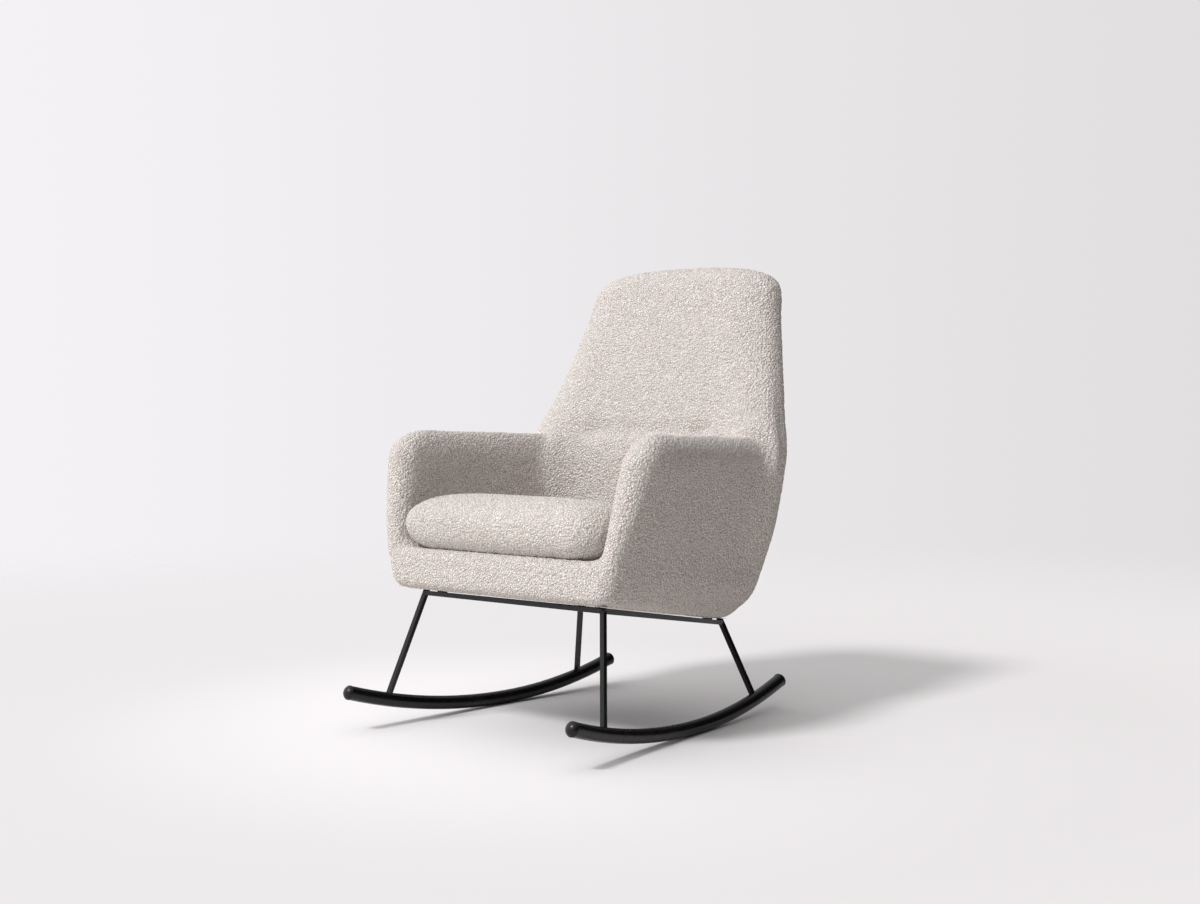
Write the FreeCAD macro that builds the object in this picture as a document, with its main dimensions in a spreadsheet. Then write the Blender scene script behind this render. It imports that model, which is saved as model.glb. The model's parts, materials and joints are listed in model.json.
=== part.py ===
import FreeCAD, Part
import math
import os

from FreeCAD import Placement, Rotation, Vector

# A high-back armchair upholstered in looped wool, on a black steel base with two tubular rockers.
# Row frame: +Z up, the sitter faces -Y, +X is the sitter's left; the origin lies on the floor under the
# middle of the chair. Lengths are millimetres and angles are degrees.
#
# The steel frame under the seat leans back by seat_tilt. Its own frame, called the seat frame, has u
# across, v towards the back and w square to the rails' top faces.
SIZES = {
    # steel frame under the seat
    "seat_tilt": 9.2,
    "frame_height": 249.7,
    "frame_half_depth": 243.0,
    "frame_front_half_width": 250.0,
    "frame_rear_half_width": 206.2,
    "bar_size": 10.0,
    "leg_nub": 4.0,
    # rockers
    "tube_radius": 15.0,
    "tube_wall": 2.0,
    "rocker_low_y": 52.0,
    "rocker_low_half_gap": 272.4,
    "rocker_toe_in": 4.16,
    "rocker_front_radius": 1560.0,
    "rocker_front_sweep": 17.0,
    "rocker_rear_radius": 1320.0,
    "rocker_rear_sweep": 15.25,
    "front_leg_angle": 13.1,
    "rear_leg_angle": 10.2,
    "cap_dome_height": 11.0,
    "cap_overhang": 0.5,
    "cap_spigot_length": 14.0,
    "slip_clearance": 0.25,
    # plates, pads and bolts between the steel and the seat board
    "plate_thickness": 3.0,
    "plate_leg": 46.0,
    "plate_corner_cut": 8.0,
    "bolt_inset": 19.0,
    "pad_radius": 11.0,
    "pad_height": 4.4,
    "bolt_radius": 3.0,
    "thread_clearance": 0.1,
    "bolt_head_radius": 5.5,
    "bolt_head_height": 3.6,
    "washer_radius": 7.5,
    "washer_thickness": 1.4,
    "nut_barrel_radius": 4.2,
    "nut_barrel_length": 9.0,
    "nut_flange_radius": 9.0,
    "nut_flange_thickness": 1.5,
    # timber and webbing in the seat
    "cover_thickness": 0.6,
    "board_thickness": 12.0,
    "board_front": 262.0,
    "board_rear": 222.0,
    "board_front_half_width": 258.0,
    "board_rear_half_width": 203.0,
    "rail_height": 45.0,
    "rail_thickness": 22.0,
    "rear_rail_front": 175.0,
    "bearer_height": 18.0,
    "bearer_width": 56.0,
    "front_bearer_front": -212.0,
    "rear_bearer_front": 32.0,
    "front_bearer_half_length": 299.0,
    "rear_bearer_half_length": 284.0,
    "strap_width": 50.0,
    "strap_thickness": 2.0,
    "seat_strap_pitch": 60.0,
    "fit_gap": 0.3,
    "back_hollow_depth": 11.0,
    # timber panels in the arms
    "arm_panel_thickness": 12.0,
    "arm_panel_top_inset": 52.0,
    "arm_panel_corner": 24.0,
    "arm_panel_toe_in": 3.0,
    "arm_panel_half_gap": 279.5,
    "arm_panel_front": -205.0,
    "arm_panel_rear": 84.0,
    "arm_panel_front_height": 194.0,
    "arm_panel_rear_height": 246.0,
    "screw_radius": 2.0,
    "screw_head_radius": 4.2,
    "screw_head_height": 2.6,
    "screw_length": 38.0,
    # timber and webbing in the back
    "post_half_gap": 170.0,
    "post_width": 40.0,
    "post_thickness": 25.0,
    "post_lean": 2.5,
    "post_foot_gap": 4.0,
    "post_top": 717.0,
    "top_rail_low": 662.0,
    "lumbar_rail_low": 262.0,
    "back_rail_height": 46.0,
    "back_strap_low": 130.0,
    "back_strap_pitch": 78.0,
    "back_strap_count": 7.0,
    # upholstered shell: the seat part, in the seat frame
    "shell_bottom": 5.0,
    "shell_top": 89.1,
    "shell_front": 308.0,
    "shell_front_half_width": 318.0,
    "shell_rear": 276.5,
    "shell_rear_half_width": 296.0,
    "shell_front_corner": 32.0,
    "shell_rear_corner": 66.0,
    # upholstered shell: arms and back, in the row frame
    "arm_split_y": 150.0,
    "arm_top": 624.0,
    "arm_top_slope": 1.3,
    "arm_top_half_width": 374.0,
    "arm_top_front": -238.0,
    "arm_top_thickness": 84.0,
    "arm_foot_thickness": 42.0,
    "arm_foot_inset": 2.0,
    "arm_rear_inset": 14.0,
    "arm_rear_top_thickness": 75.0,
    "arm_rear_foot_thickness": 44.0,
    "arm_rear_foot_y": 250.0,
    "arm_rear_cover": 40.0,
    "arm_crown_radius": 40.0,
    "back_joint_height": 600.0,
    "back_joint_inset": 29.0,
    "back_joint_front": 214.0,
    "back_joint_rear": 314.0,
    "back_shoulder_height": 916.0,
    "back_shoulder_half_width": 261.0,
    "back_shoulder_front": 315.7,
    "back_shoulder_rear": 399.2,
    "back_crown_height": 77.0,
    "back_crown_half_width": 165.0,
    # loose seat cushion, in the seat frame
    "cushion_height": 122.0,
    "cushion_equator": 52.0,
    "cushion_front": 334.0,
    "cushion_front_half_width": 273.0,
    "cushion_rear": 178.5,
    "cushion_rear_half_width": 240.0,
    "cushion_corner": 55.0,
    "cushion_draw_in": 4.0,
    "cushion_lower_round": 40.0,
    "cushion_crown_run": 120.0,
    "cushion_cover_thickness": 3.0,
    # zip along the cushion's lower rear edge
    "zip_length": 400.0,
    "zip_tape_width": 24.0,
    "zip_tape_thickness": 1.0,
    "zip_chain_width": 4.0,
    "zip_chain_height": 1.6,
    "zip_facet_depth": 6.0,
    "slider_length": 11.0,
    "slider_width": 8.0,
    "slider_height": 3.4,
    "slider_wall": 1.0,
    "slider_ear_gap": 4.0,
    "slider_pin_radius": 0.7,
    "pull_length": 16.0,
    "pull_thickness": 1.4,
    "pull_eye_wall": 0.6,
    "pull_clearance": 0.25,
}

doc = FreeCAD.newDocument("RockingArmchair")
sheet = doc.addObject("Spreadsheet::Sheet", "Sizes")
for row, (alias, value) in enumerate(SIZES.items(), start=1):
    sheet.set(f"A{row}", alias)
    sheet.set(f"B{row}", str(value))
    sheet.setAlias(f"B{row}", alias)
doc.recompute()

exported = []


def size(alias):
    """The value of one cell of the sheet."""
    return float(sheet.get(alias))


def kept(obj, label):
    """Give an object the name of its file and list it for export."""
    obj.Label = label
    exported.append(obj)
    return obj


# Places and directions

TILT = math.radians(size("seat_tilt"))
SEAT = Placement(Vector(0, 0, size("frame_height")), Rotation(Vector(1, 0, 0), -size("seat_tilt")))
SIDES = {"left": 1.0, "right": -1.0}


def seat_point(u, v, w):
    """A point of the seat frame, in the row frame."""
    return SEAT.multVec(Vector(u, v, w))


def seat_height_at(y, w):
    """The height over the floor, at y, of a plane parallel to the seat at w."""
    return size("frame_height") + w / math.cos(TILT) - y * math.tan(TILT)


def between(low, high, share):
    """The value that lies a share of the way from low to high."""
    return low + (high - low) * share


def box_solid(corner, lengths, placement=SEAT):
    """A computed box with its lowest corner and its lengths in the frame of a placement."""
    solid = Part.makeBox(lengths[0], lengths[1], lengths[2], Vector(*corner))
    solid.Placement = placement
    return solid


# Helpers that make the document's objects


def body_sketch(body, role, loops, circles=()):
    """A closed sketch of straight-sided loops and circles on one of the body's own origin planes."""
    sketch = body.newObject("Sketcher::SketchObject", "Outline")
    plane = next(item for item in body.Origin.OriginFeatures if item.Role == role)
    sketch.AttachmentSupport = [(plane, "")]
    sketch.MapMode = "FlatFace"
    for points in loops:
        for start, end in zip(points, points[1:] + points[:1]):
            sketch.addGeometry(Part.LineSegment(Vector(*start, 0), Vector(*end, 0)), False)
    for centre, radius in circles:
        sketch.addGeometry(Part.Circle(Vector(*centre, 0), Vector(0, 0, 1), radius), False)
    return sketch


def plate_body(label, points, thickness, start_w=0.0, holes=(), role="XY_Plane", placement=SEAT):
    """A flat piece: a closed outline, with round holes, raised by a thickness that the sheet names."""
    body = doc.addObject("PartDesign::Body", label)
    sketch = body_sketch(body, role, [points], holes)
    sketch.AttachmentOffset = Placement(Vector(0, 0, start_w), Rotation())
    pad = body.newObject("PartDesign::Pad", "Raised")
    pad.Profile = sketch
    pad.setExpression("Length", thickness)
    body.Placement = placement
    return kept(body, label)


def box_object(name, lengths, placement):
    """A box whose three lengths are expressions of the sheet."""
    box = doc.addObject("Part::Box", name)
    for axis, expression in zip(("Length", "Width", "Height"), lengths):
        box.setExpression(axis, expression)
    box.Placement = placement
    return box


def cylinder_object(name, radius, height, placement):
    """A cylinder whose radius and height are expressions of the sheet."""
    cylinder = doc.addObject("Part::Cylinder", name)
    cylinder.setExpression("Radius", radius)
    cylinder.setExpression("Height", height)
    cylinder.Placement = placement
    return cylinder


def cut_object(name, base, tools):
    """Cut each tool in turn out of the base."""
    for number, tool in enumerate(tools, start=1):
        cut = doc.addObject("Part::Cut", f"{name}_cut_{number}")
        cut.Base = base
        cut.Tool = tool
        base = cut
    return base


def group_object(label, members):
    """Separate solids of one kind, kept together in one node."""
    group = doc.addObject("Part::Compound", label)
    group.Links = members
    return kept(group, label)


def shape_object(label, shape, placement=Placement()):
    """A node whose form is computed, such as a soft form lofted through outlines."""
    feature = doc.addObject("Part::Feature", label)
    feature.Shape = shape
    feature.Placement = placement
    return kept(feature, label)


# Rockers


def rocker_placement(side):
    """The frame of one rocker: origin on the tube's centreline at its lowest point, +Y to the rear."""
    low = Vector(side * size("rocker_low_half_gap"), size("rocker_low_y"), size("tube_radius"))
    return Placement(low, Rotation(Vector(0, 0, 1), side * size("rocker_toe_in")))


def rocker_point(side, end, angle):
    """A point of the rocker's centreline, at an angle from its lowest point towards one end."""
    radius = size(f"rocker_{end}_radius")
    way = -1.0 if end == "front" else 1.0
    turn = math.radians(angle)
    local = Vector(0, way * radius * math.sin(turn), radius * (1 - math.cos(turn)))
    return rocker_placement(side).multVec(local)


def rocker_tube(label, side):
    """A bent tube: its ring turns about one axis to the front end and about a second to the rear end."""
    body = doc.addObject("PartDesign::Body", label)
    outer = size("tube_radius")
    for end, backwards in (("front", True), ("rear", False)):
        ring = body_sketch(body, "XZ_Plane", [], [((0, 0), outer), ((0, 0), outer - size("tube_wall"))])
        height = size(f"rocker_{end}_radius")
        ring.addGeometry(Part.LineSegment(Vector(-outer, height, 0), Vector(outer, height, 0)), True)
        turn = body.newObject("PartDesign::Revolution", f"Bend_{end}")
        turn.Profile = ring
        turn.ReferenceAxis = (ring, ["Axis0"])
        turn.setExpression("Angle", f"Sizes.rocker_{end}_sweep")
        turn.Reversed = backwards
    body.Placement = rocker_placement(side)
    return kept(body, label)


def rocker_ring(name, side, end):
    """The whole ring that one end of the rocker is a piece of, to shape the foot of a leg."""
    ring = doc.addObject("Part::Torus", name)
    ring.setExpression("Radius1", f"Sizes.rocker_{end}_radius")
    ring.setExpression("Radius2", "Sizes.tube_radius")
    frame = rocker_placement(side)
    centre = frame.multVec(Vector(0, 0, size(f"rocker_{end}_radius")))
    ring.Placement = Placement(centre, frame.Rotation.multiply(Rotation(Vector(0, 1, 0), 90)))
    return ring


def end_cap(label, side, end):
    """A domed plug: its rim sits on the tube's end and its spigot goes into the bore."""
    body = doc.addObject("PartDesign::Body", label)
    rim = size("tube_radius") + size("cap_overhang")
    dome = size("cap_dome_height")
    spigot = size("tube_radius") - size("tube_wall") - size("slip_clearance")
    depth = size("cap_spigot_length")
    land = 1.5
    profile = body_sketch(body, "XZ_Plane", [])
    corners = [(0, dome), (0, -depth), (spigot, -depth), (spigot, 0), (rim, 0), (rim, land)]
    for start, stop in zip(corners, corners[1:]):
        profile.addGeometry(Part.LineSegment(Vector(*start, 0), Vector(*stop, 0)), False)
    lift = dome - land
    sphere = (rim * rim + lift * lift) / (2 * lift)
    half = math.asin(rim / sphere) / 2
    shoulder = Vector(sphere * math.sin(half), dome - sphere * (1 - math.cos(half)), 0)
    profile.addGeometry(Part.Arc(Vector(rim, land, 0), shoulder, Vector(0, dome, 0)), False)
    turn = body.newObject("PartDesign::Revolution", "Turned")
    turn.Profile = profile
    turn.ReferenceAxis = (profile, ["V_Axis"])
    turn.Angle = 360
    sweep = size(f"rocker_{end}_sweep")
    way = -1.0 if end == "front" else 1.0
    lean = Rotation(Vector(1, 0, 0), way * (sweep - 90))
    body.Placement = Placement(rocker_point(side, end, sweep), rocker_placement(side).Rotation.multiply(lean))
    return kept(body, label)


# Steel frame


def leg_top(side, end):
    """The middle of a leg where it meets the rails, in the seat frame."""
    half = size("bar_size") / 2
    way = -1.0 if end == "front" else 1.0
    u = side * (size(f"frame_{end}_half_width") - half)
    return Vector(u, way * (size("frame_half_depth") - half), -half)


def leg(label, side, end):
    """A square bar from the rocker up to the corner of the rails, its foot shaped to the tube."""
    foot = rocker_point(side, end, size(f"{end}_leg_angle"))
    head = SEAT.multVec(leg_top(side, end))
    axis = head - foot
    spare = 3 * size("bar_size")
    turn = Rotation(Vector(1, 0, 0), Vector(0, 1, 0), axis, "ZXY")
    half = size("bar_size") / 2
    bar = doc.addObject("Part::Box", f"{label}_bar")
    bar.setExpression("Length", "Sizes.bar_size")
    bar.setExpression("Width", "Sizes.bar_size")
    bar.Height = axis.Length + spare
    bar.Placement = Placement(foot + turn.multVec(Vector(-half, -half, 0)), turn)
    ring = rocker_ring(f"{label}_ring", side, end)
    over = doc.addObject("Part::Box", f"{label}_over")
    over.Length = over.Width = over.Height = 4 * spare
    corner = leg_top(side, end) + Vector(-2 * spare, -2 * spare, size("bar_size") / 2 + size("leg_nub"))
    over.Placement = SEAT.multiply(Placement(corner, Rotation()))
    return kept(cut_object(label, bar, [ring, over]), label)


def cross_rail(label, end, legs):
    """A square bar from leg to leg, across the chair."""
    half = size("bar_size") / 2
    start = leg_top(-1.0, end) + Vector(0, -half, -half)
    lengths = (f"2 * Sizes.frame_{end}_half_width - Sizes.bar_size", "Sizes.bar_size", "Sizes.bar_size")
    bar = box_object(f"{label}_bar", lengths, SEAT.multiply(Placement(start, Rotation())))
    return kept(cut_object(label, bar, legs), label)


def side_direction(side):
    """The unit vector along a side rail, front to rear, in the seat frame."""
    return (leg_top(side, "rear") - leg_top(side, "front")).normalize()


def side_rail(label, side, neighbours):
    """A square bar from the front leg to the rear leg, fitted to the legs and the cross rails."""
    half = size("bar_size") / 2
    front = leg_top(side, "front")
    span = leg_top(side, "rear") - front
    turn = Rotation(Vector(0, 1, 0), side_direction(side))
    bar = doc.addObject("Part::Box", f"{label}_bar")
    bar.setExpression("Length", "Sizes.bar_size")
    bar.Width = span.Length
    bar.setExpression("Height", "Sizes.bar_size")
    start = front + turn.multVec(Vector(-half, 0, -half))
    bar.Placement = SEAT.multiply(Placement(start, turn))
    return kept(cut_object(label, bar, neighbours), label)


def plate_corner(side, end):
    """The inner corner of two rails and the directions that lead inwards from it, in the seat frame."""
    bar = size("bar_size")
    way = 1.0 if end == "front" else -1.0
    along = side_direction(side) * way
    across = Vector(-side, 0, 0)
    inner_v = -way * (size("frame_half_depth") - bar)
    middle = leg_top(side, end)
    start = middle + along * ((inner_v - middle.y) / along.y)
    clear = bar / 2 / abs(along.y)
    return Vector(start.x - side * clear, inner_v, 0), across, along


def bolt_point(side, end):
    """The axis of a seat bolt, in the seat frame."""
    corner, across, along = plate_corner(side, end)
    return corner + across * size("bolt_inset") + along * size("bolt_inset")


def corner_plate(label, side, end):
    """A flat gusset in a corner of the rails, with the hole for a seat bolt."""
    corner, across, along = plate_corner(side, end)
    leg_length = size("plate_leg")
    nick = size("plate_corner_cut")
    tip = size("bar_size")
    points = [
        corner + across * nick,
        corner + across * leg_length,
        corner + across * leg_length + along * tip,
        corner + across * tip + along * leg_length,
        corner + along * leg_length,
        corner + along * nick,
    ]
    outline = [(point.x, point.y) for point in points]
    centre = bolt_point(side, end)
    hole = [((centre.x, centre.y), size("bolt_radius") + size("fit_gap"))]
    return plate_body(label, outline, "Sizes.plate_thickness", -size("plate_thickness"), hole)


def all_corners():
    """Every side and end of the frame."""
    return [(side_name, side, end) for side_name, side in SIDES.items() for end in ("front", "rear")]


def bolt_placement(side, end, w):
    """A place on a seat bolt's axis, at a height over the rails."""
    point = bolt_point(side, end)
    return SEAT.multiply(Placement(Vector(point.x, point.y, w), Rotation()))


def ring_object(name, outer, inner, height, placement):
    """A flat ring: a disc with a round hole."""
    disc = cylinder_object(f"{name}_disc", outer, height, placement)
    hole = cylinder_object(f"{name}_hole", inner, height, placement)
    return cut_object(name, disc, [hole])


def seat_fasteners():
    """Pads, washers, bolts and barrel nuts at the four corner plates."""
    pads = []
    washers = []
    bolts = []
    nuts = []
    under = -size("plate_thickness") - size("washer_thickness")
    board_top = size("shell_bottom") + size("board_thickness")
    hole = "Sizes.bolt_radius + Sizes.fit_gap"
    for side_name, side, end in all_corners():
        mark = f"{end}_{side_name}"
        pad_place = bolt_placement(side, end, 0)
        pads.append(ring_object(f"pad_{mark}", "Sizes.pad_radius", hole, "Sizes.pad_height", pad_place))
        low = bolt_placement(side, end, under)
        washers.append(
            ring_object(f"washer_{mark}", "Sizes.washer_radius", hole, "Sizes.washer_thickness", low)
        )
        head_place = bolt_placement(side, end, under - size("bolt_head_height"))
        head = cylinder_object(
            f"head_{mark}", "Sizes.bolt_head_radius", "Sizes.bolt_head_height", head_place
        )
        shank = cylinder_object(
            f"shank_{mark}",
            "Sizes.bolt_radius",
            "Sizes.plate_thickness + Sizes.washer_thickness + Sizes.shell_bottom + Sizes.board_thickness",
            low,
        )
        bolt = doc.addObject("Part::Fuse", f"bolt_{mark}")
        bolt.Base = head
        bolt.Tool = shank
        bolts.append(bolt)
        barrel = ring_object(
            f"barrel_{mark}",
            "Sizes.nut_barrel_radius",
            "Sizes.bolt_radius + Sizes.thread_clearance",
            "Sizes.nut_barrel_length",
            bolt_placement(side, end, board_top - size("nut_barrel_length")),
        )
        flange = ring_object(
            f"flange_{mark}",
            "Sizes.nut_flange_radius",
            "Sizes.bolt_radius + Sizes.thread_clearance",
            "Sizes.nut_flange_thickness",
            bolt_placement(side, end, board_top),
        )
        nut = doc.addObject("Part::Fuse", f"nut_{mark}")
        nut.Base = barrel
        nut.Tool = flange
        nuts.append(nut)
    group_object("frame_spacer_pads", pads)
    group_object("seat_bolt_washers", washers)
    group_object("seat_bolts", bolts)
    group_object("barrel_nuts", nuts)


# Timber, webbing and sheet in the seat


def board_edge(v, inset=0.0):
    """Half the width of the seat board at v, less an inset square to its slanted side."""
    front = -size("board_front")
    share = (v - front) / (size("board_rear") - front)
    slope = (size("board_rear_half_width") - size("board_front_half_width")) / (size("board_rear") - front)
    return between(size("board_front_half_width"), size("board_rear_half_width"), share) - inset * math.hypot(
        1, slope
    )


def board_quad(front, rear, inset=0.0):
    """The four corners of a slice of the board's outline, from a front to a rear line."""
    a = board_edge(front, inset)
    b = board_edge(rear, inset)
    return [(-a, front), (a, front), (b, rear), (-b, rear)]


def bolt_holes(radius):
    """The four seat bolts' places with one radius."""
    centres = [bolt_point(side, end) for _, side, end in all_corners()]
    return [((centre.x, centre.y), radius) for centre in centres]


def seat_timber():
    """The board, the ring of rails on it, and the two bearers that carry the arms."""
    front = -size("board_front")
    rear = size("board_rear")
    thick = size("rail_thickness")
    low = size("shell_bottom")
    deck = low + size("board_thickness")
    top = deck + size("rail_height")
    clear = size("nut_barrel_radius") + size("fit_gap")
    plate_body("seat_board", board_quad(front, rear), "Sizes.board_thickness", low, bolt_holes(clear))
    cover_low = low - size("cover_thickness")
    margin = size("rail_thickness") - size("fit_gap")
    outline = board_quad(front - margin, rear, -margin)
    cover_holes = bolt_holes(size("bolt_radius") + size("fit_gap"))
    plate_body("dust_cover", outline, "Sizes.cover_thickness", cover_low, cover_holes)
    rear_front = size("rear_rail_front")
    front_quad = board_quad(front, front + thick)
    rear_quad = board_quad(rear_front, rear_front + thick)
    plate_body("seat_rail_front", front_quad, "Sizes.rail_height", deck)
    plate_body("seat_rail_rear", rear_quad, "Sizes.rail_height", deck)
    for side_name, side in SIDES.items():
        outer = [(board_edge(v), v) for v in (front + thick, rear_front)]
        inner = [(board_edge(v, thick), v) for v in (rear_front, front + thick)]
        points = [(side * u, v) for u, v in outer + inner]
        pilot = size("screw_radius") + size("thread_clearance")
        screws = [place for end in ("front", "rear") for place in bearer_screw_places(end)]
        pilots = [(place, pilot) for place in screws if place[0] * side > 0]
        plate_body(f"seat_rail_{side_name}", points, "Sizes.rail_height", deck, pilots)
    for end in ("front", "rear"):
        half = size(f"{end}_bearer_half_length")
        start = size(f"{end}_bearer_front")
        stop = start + size("bearer_width")
        points = [(-half, start), (half, start), (half, stop), (-half, stop)]
        holes = [(place, size("screw_radius") + size("fit_gap")) for place in bearer_screw_places(end)]
        plate_body(f"arm_bearer_{end}", points, "Sizes.bearer_height", top, holes)
    straps = []
    gap = size("front_bearer_front") + size("bearer_width")
    starts = [gap + 8 + size("seat_strap_pitch") * step for step in range(3)]
    starts[2] = size("rear_bearer_front") + size("bearer_width") + 12
    for number, start in enumerate(starts):
        half = board_edge(start + size("strap_width"))
        placement = SEAT.multiply(Placement(Vector(-half, start, top), Rotation()))
        strap = doc.addObject("Part::Box", f"seat_strap_{number}")
        strap.Length = 2 * half
        strap.setExpression("Width", "Sizes.strap_width")
        strap.setExpression("Height", "Sizes.strap_thickness")
        strap.Placement = placement
        straps.append(strap)
    group_object("seat_webbing", straps)


def bearer_screw_places(end):
    """Where two screws hold a bearer down on the side rails, in the seat frame."""
    v = size(f"{end}_bearer_front") + size("bearer_width") / 2
    u = board_edge(v, size("rail_thickness") / 2)
    return [(u, v), (-u, v)]


def bearer_screws():
    """Pan-head screws through the bearers; their tips stand in the rails' pilot holes."""
    top = (
        size("shell_bottom") + size("board_thickness") + size("rail_height") + size("bearer_height")
    )
    screws = []
    for end in ("front", "rear"):
        for number, (u, v) in enumerate(bearer_screw_places(end)):
            at_top = SEAT.multiply(Placement(Vector(u, v, top), Rotation()))
            tip = SEAT.multiply(Placement(Vector(u, v, top - size("screw_length")), Rotation()))
            name = f"{end}_{number}"
            head = cylinder_object(
                f"screw_head_{name}", "Sizes.screw_head_radius", "Sizes.screw_head_height", at_top
            )
            shank = cylinder_object(f"screw_shank_{name}", "Sizes.screw_radius", "Sizes.screw_length", tip)
            screw = doc.addObject("Part::Fuse", f"screw_{name}")
            screw.Base = head
            screw.Tool = shank
            screws.append(screw)
    group_object("bearer_screws", screws)


# Timber and webbing in the arms and the back


def bearer_top():
    """The height of the bearers' top faces over the steel rails."""
    return size("shell_bottom") + size("board_thickness") + size("rail_height") + size("bearer_height")


def panel_lean():
    """The angle in degrees at which an arm panel leans out, so that it stays inside the arm's top."""
    top = size("arm_top_half_width") - size("arm_panel_top_inset")
    return math.degrees(math.atan2(top - size("arm_panel_half_gap"), size("arm_panel_rear_height")))


def panel_placement(side):
    """The frame of an arm panel: its middle plane leans out and toes in."""
    toe = Rotation(Vector(0, 0, 1), side * size("arm_panel_toe_in"))
    lean = Rotation(Vector(0, 1, 0), side * panel_lean())
    origin = Vector(side * size("arm_panel_half_gap"), 0, bearer_top())
    return SEAT.multiply(Placement(origin, toe.multiply(lean)))


def panel_outline(grow=0.0):
    """The outline of an arm panel in its own plane, v along and the height up the lean."""
    foot = -size("arm_panel_thickness")
    return [
        (size("arm_panel_front") - grow, foot - grow),
        (size("arm_panel_rear") + grow, foot - grow),
        (size("arm_panel_rear") + grow, size("arm_panel_rear_height") + grow),
        (size("arm_panel_front") + size("arm_panel_corner"), size("arm_panel_front_height") + grow),
        (size("arm_panel_front") - grow, size("arm_panel_front_height") - size("arm_panel_corner")),
    ]


def panel_space(side):
    """The slot that the upholstery leaves for an arm panel, with room all round."""
    gap = size("fit_gap")
    half = size("arm_panel_thickness") / 2 + gap
    points = [Vector(-half, v, w) for v, w in panel_outline(gap)]
    slot = Part.Face(Part.makePolygon(points + points[:1])).extrude(Vector(2 * half, 0, 0))
    slot.Placement = panel_placement(side)
    return slot


def arm_panel(label, side):
    """A plywood panel that stands on both bearers and stiffens an arm."""
    body = doc.addObject("PartDesign::Body", f"{label}_sheet")
    sketch = body_sketch(body, "YZ_Plane", [panel_outline()])
    pad = body.newObject("PartDesign::Pad", "Raised")
    pad.Profile = sketch
    pad.setExpression("Length", "Sizes.arm_panel_thickness")
    pad.Midplane = True
    body.Placement = panel_placement(side)
    floor = doc.addObject("Part::Box", f"{label}_floor")
    reach = 2 * size("shell_front")
    floor.Length = reach
    floor.Width = reach
    floor.Height = 4 * size("bar_size")
    corner = Vector(-reach / 2 + side * size("arm_panel_half_gap"), -reach / 2, bearer_top() - floor.Height.Value)
    floor.Placement = SEAT.multiply(Placement(corner, Rotation()))
    return kept(cut_object(label, body, [floor]), label)


def post_front(w):
    """The v of the posts' front face at a height w, in the seat frame."""
    upright_top = size("shell_bottom") + size("board_thickness") + size("rail_height")
    foot = size("rear_rail_front") + size("rail_thickness")
    return foot + max(0.0, w - upright_top) * math.tan(math.radians(size("post_lean")))


def post_slice(low, high, front_offset=0.0, rear_offset=0.0):
    """The side outline of a length of the posts, moved forward or back at its faces."""
    bend = size("shell_bottom") + size("board_thickness") + size("rail_height")
    heights = [low, high]
    if low < bend < high:
        heights = [low, bend, high]
    thick = size("post_thickness")
    front = [(post_front(w) - front_offset, w) for w in heights]
    rear = [(post_front(w) + thick + rear_offset, w) for w in reversed(heights)]
    return front + rear


def across_body(label, points, half_width, keep=True, middle=0.0):
    """A piece of constant side outline that runs across the chair, centred on a u."""
    body = doc.addObject("PartDesign::Body", label)
    sketch = body_sketch(body, "YZ_Plane", [points])
    pad = body.newObject("PartDesign::Pad", "Raised")
    pad.Profile = sketch
    pad.setExpression("Length", half_width)
    pad.Midplane = True
    body.Placement = SEAT.multiply(Placement(Vector(middle, 0, 0), Rotation()))
    return kept(body, label) if keep else body


def back_timber():
    """Two posts behind the rear seat rail, two rails between them and the webbing in front."""
    foot = size("shell_bottom") + size("board_thickness") + size("post_foot_gap")
    middle = size("post_half_gap") + size("post_width") / 2
    for side_name, side in SIDES.items():
        outline = post_slice(foot, size("post_top"))
        across_body(f"back_post_{side_name}", outline, "Sizes.post_width", True, side * middle)
    for name in ("top", "lumbar"):
        low = size(f"{name}_rail_low")
        outline = post_slice(low, low + size("back_rail_height"))
        across_body(f"back_rail_{name}", outline, "2 * Sizes.post_half_gap")
    straps = []
    thick = size("strap_thickness")
    for number in range(int(size("back_strap_count"))):
        low = size("back_strap_low") + number * size("back_strap_pitch")
        high = low + size("strap_width")
        points = [
            (post_front(low) - thick, low),
            (post_front(high) - thick, high),
            (post_front(high), high),
            (post_front(low), low),
        ]
        width = "2 * (Sizes.post_half_gap + Sizes.post_width)"
        straps.append(across_body(f"back_strap_{number}", points, width, False))
    group_object("back_webbing", straps)


# Upholstery


def rounded_outline(corners, radii, place):
    """A closed wire: straight sides between corners that arcs of the given radii round off."""
    edges = []
    arcs = []
    count = len(corners)
    for index in range(count):
        here = Vector(*corners[index], 0)
        before = (Vector(*corners[index - 1], 0) - here).normalize()
        after = (Vector(*corners[(index + 1) % count], 0) - here).normalize()
        half = before.getAngle(after) / 2
        reach = radii[index] / math.tan(half)
        middle = (before + after).normalize()
        centre = here + middle * (radii[index] / math.sin(half))
        arcs.append((here + before * reach, centre - middle * radii[index], here + after * reach))
    for index in range(count):
        start, top, end = (place(point) for point in arcs[index])
        edges.append(Part.Arc(start, top, end).toShape())
        edges.append(Part.LineSegment(end, place(arcs[(index + 1) % count][0])).toShape())
    return Part.Wire(edges)


def level_place(height, slope, at_y):
    """A function that lays a plan point on a plane that has the height at y and falls to the rear."""
    def place(point):
        return Vector(point.x, point.y, height - slope * (point.y - at_y))
    return place


def crown_inset(radius, depth):
    """How far a rounded edge has drawn in at a depth below its top."""
    return radius - math.sqrt(radius * radius - (radius - depth) ** 2)


CROWN_DEPTHS = (0.65, 0.34, 0.12, 0.012)


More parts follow.
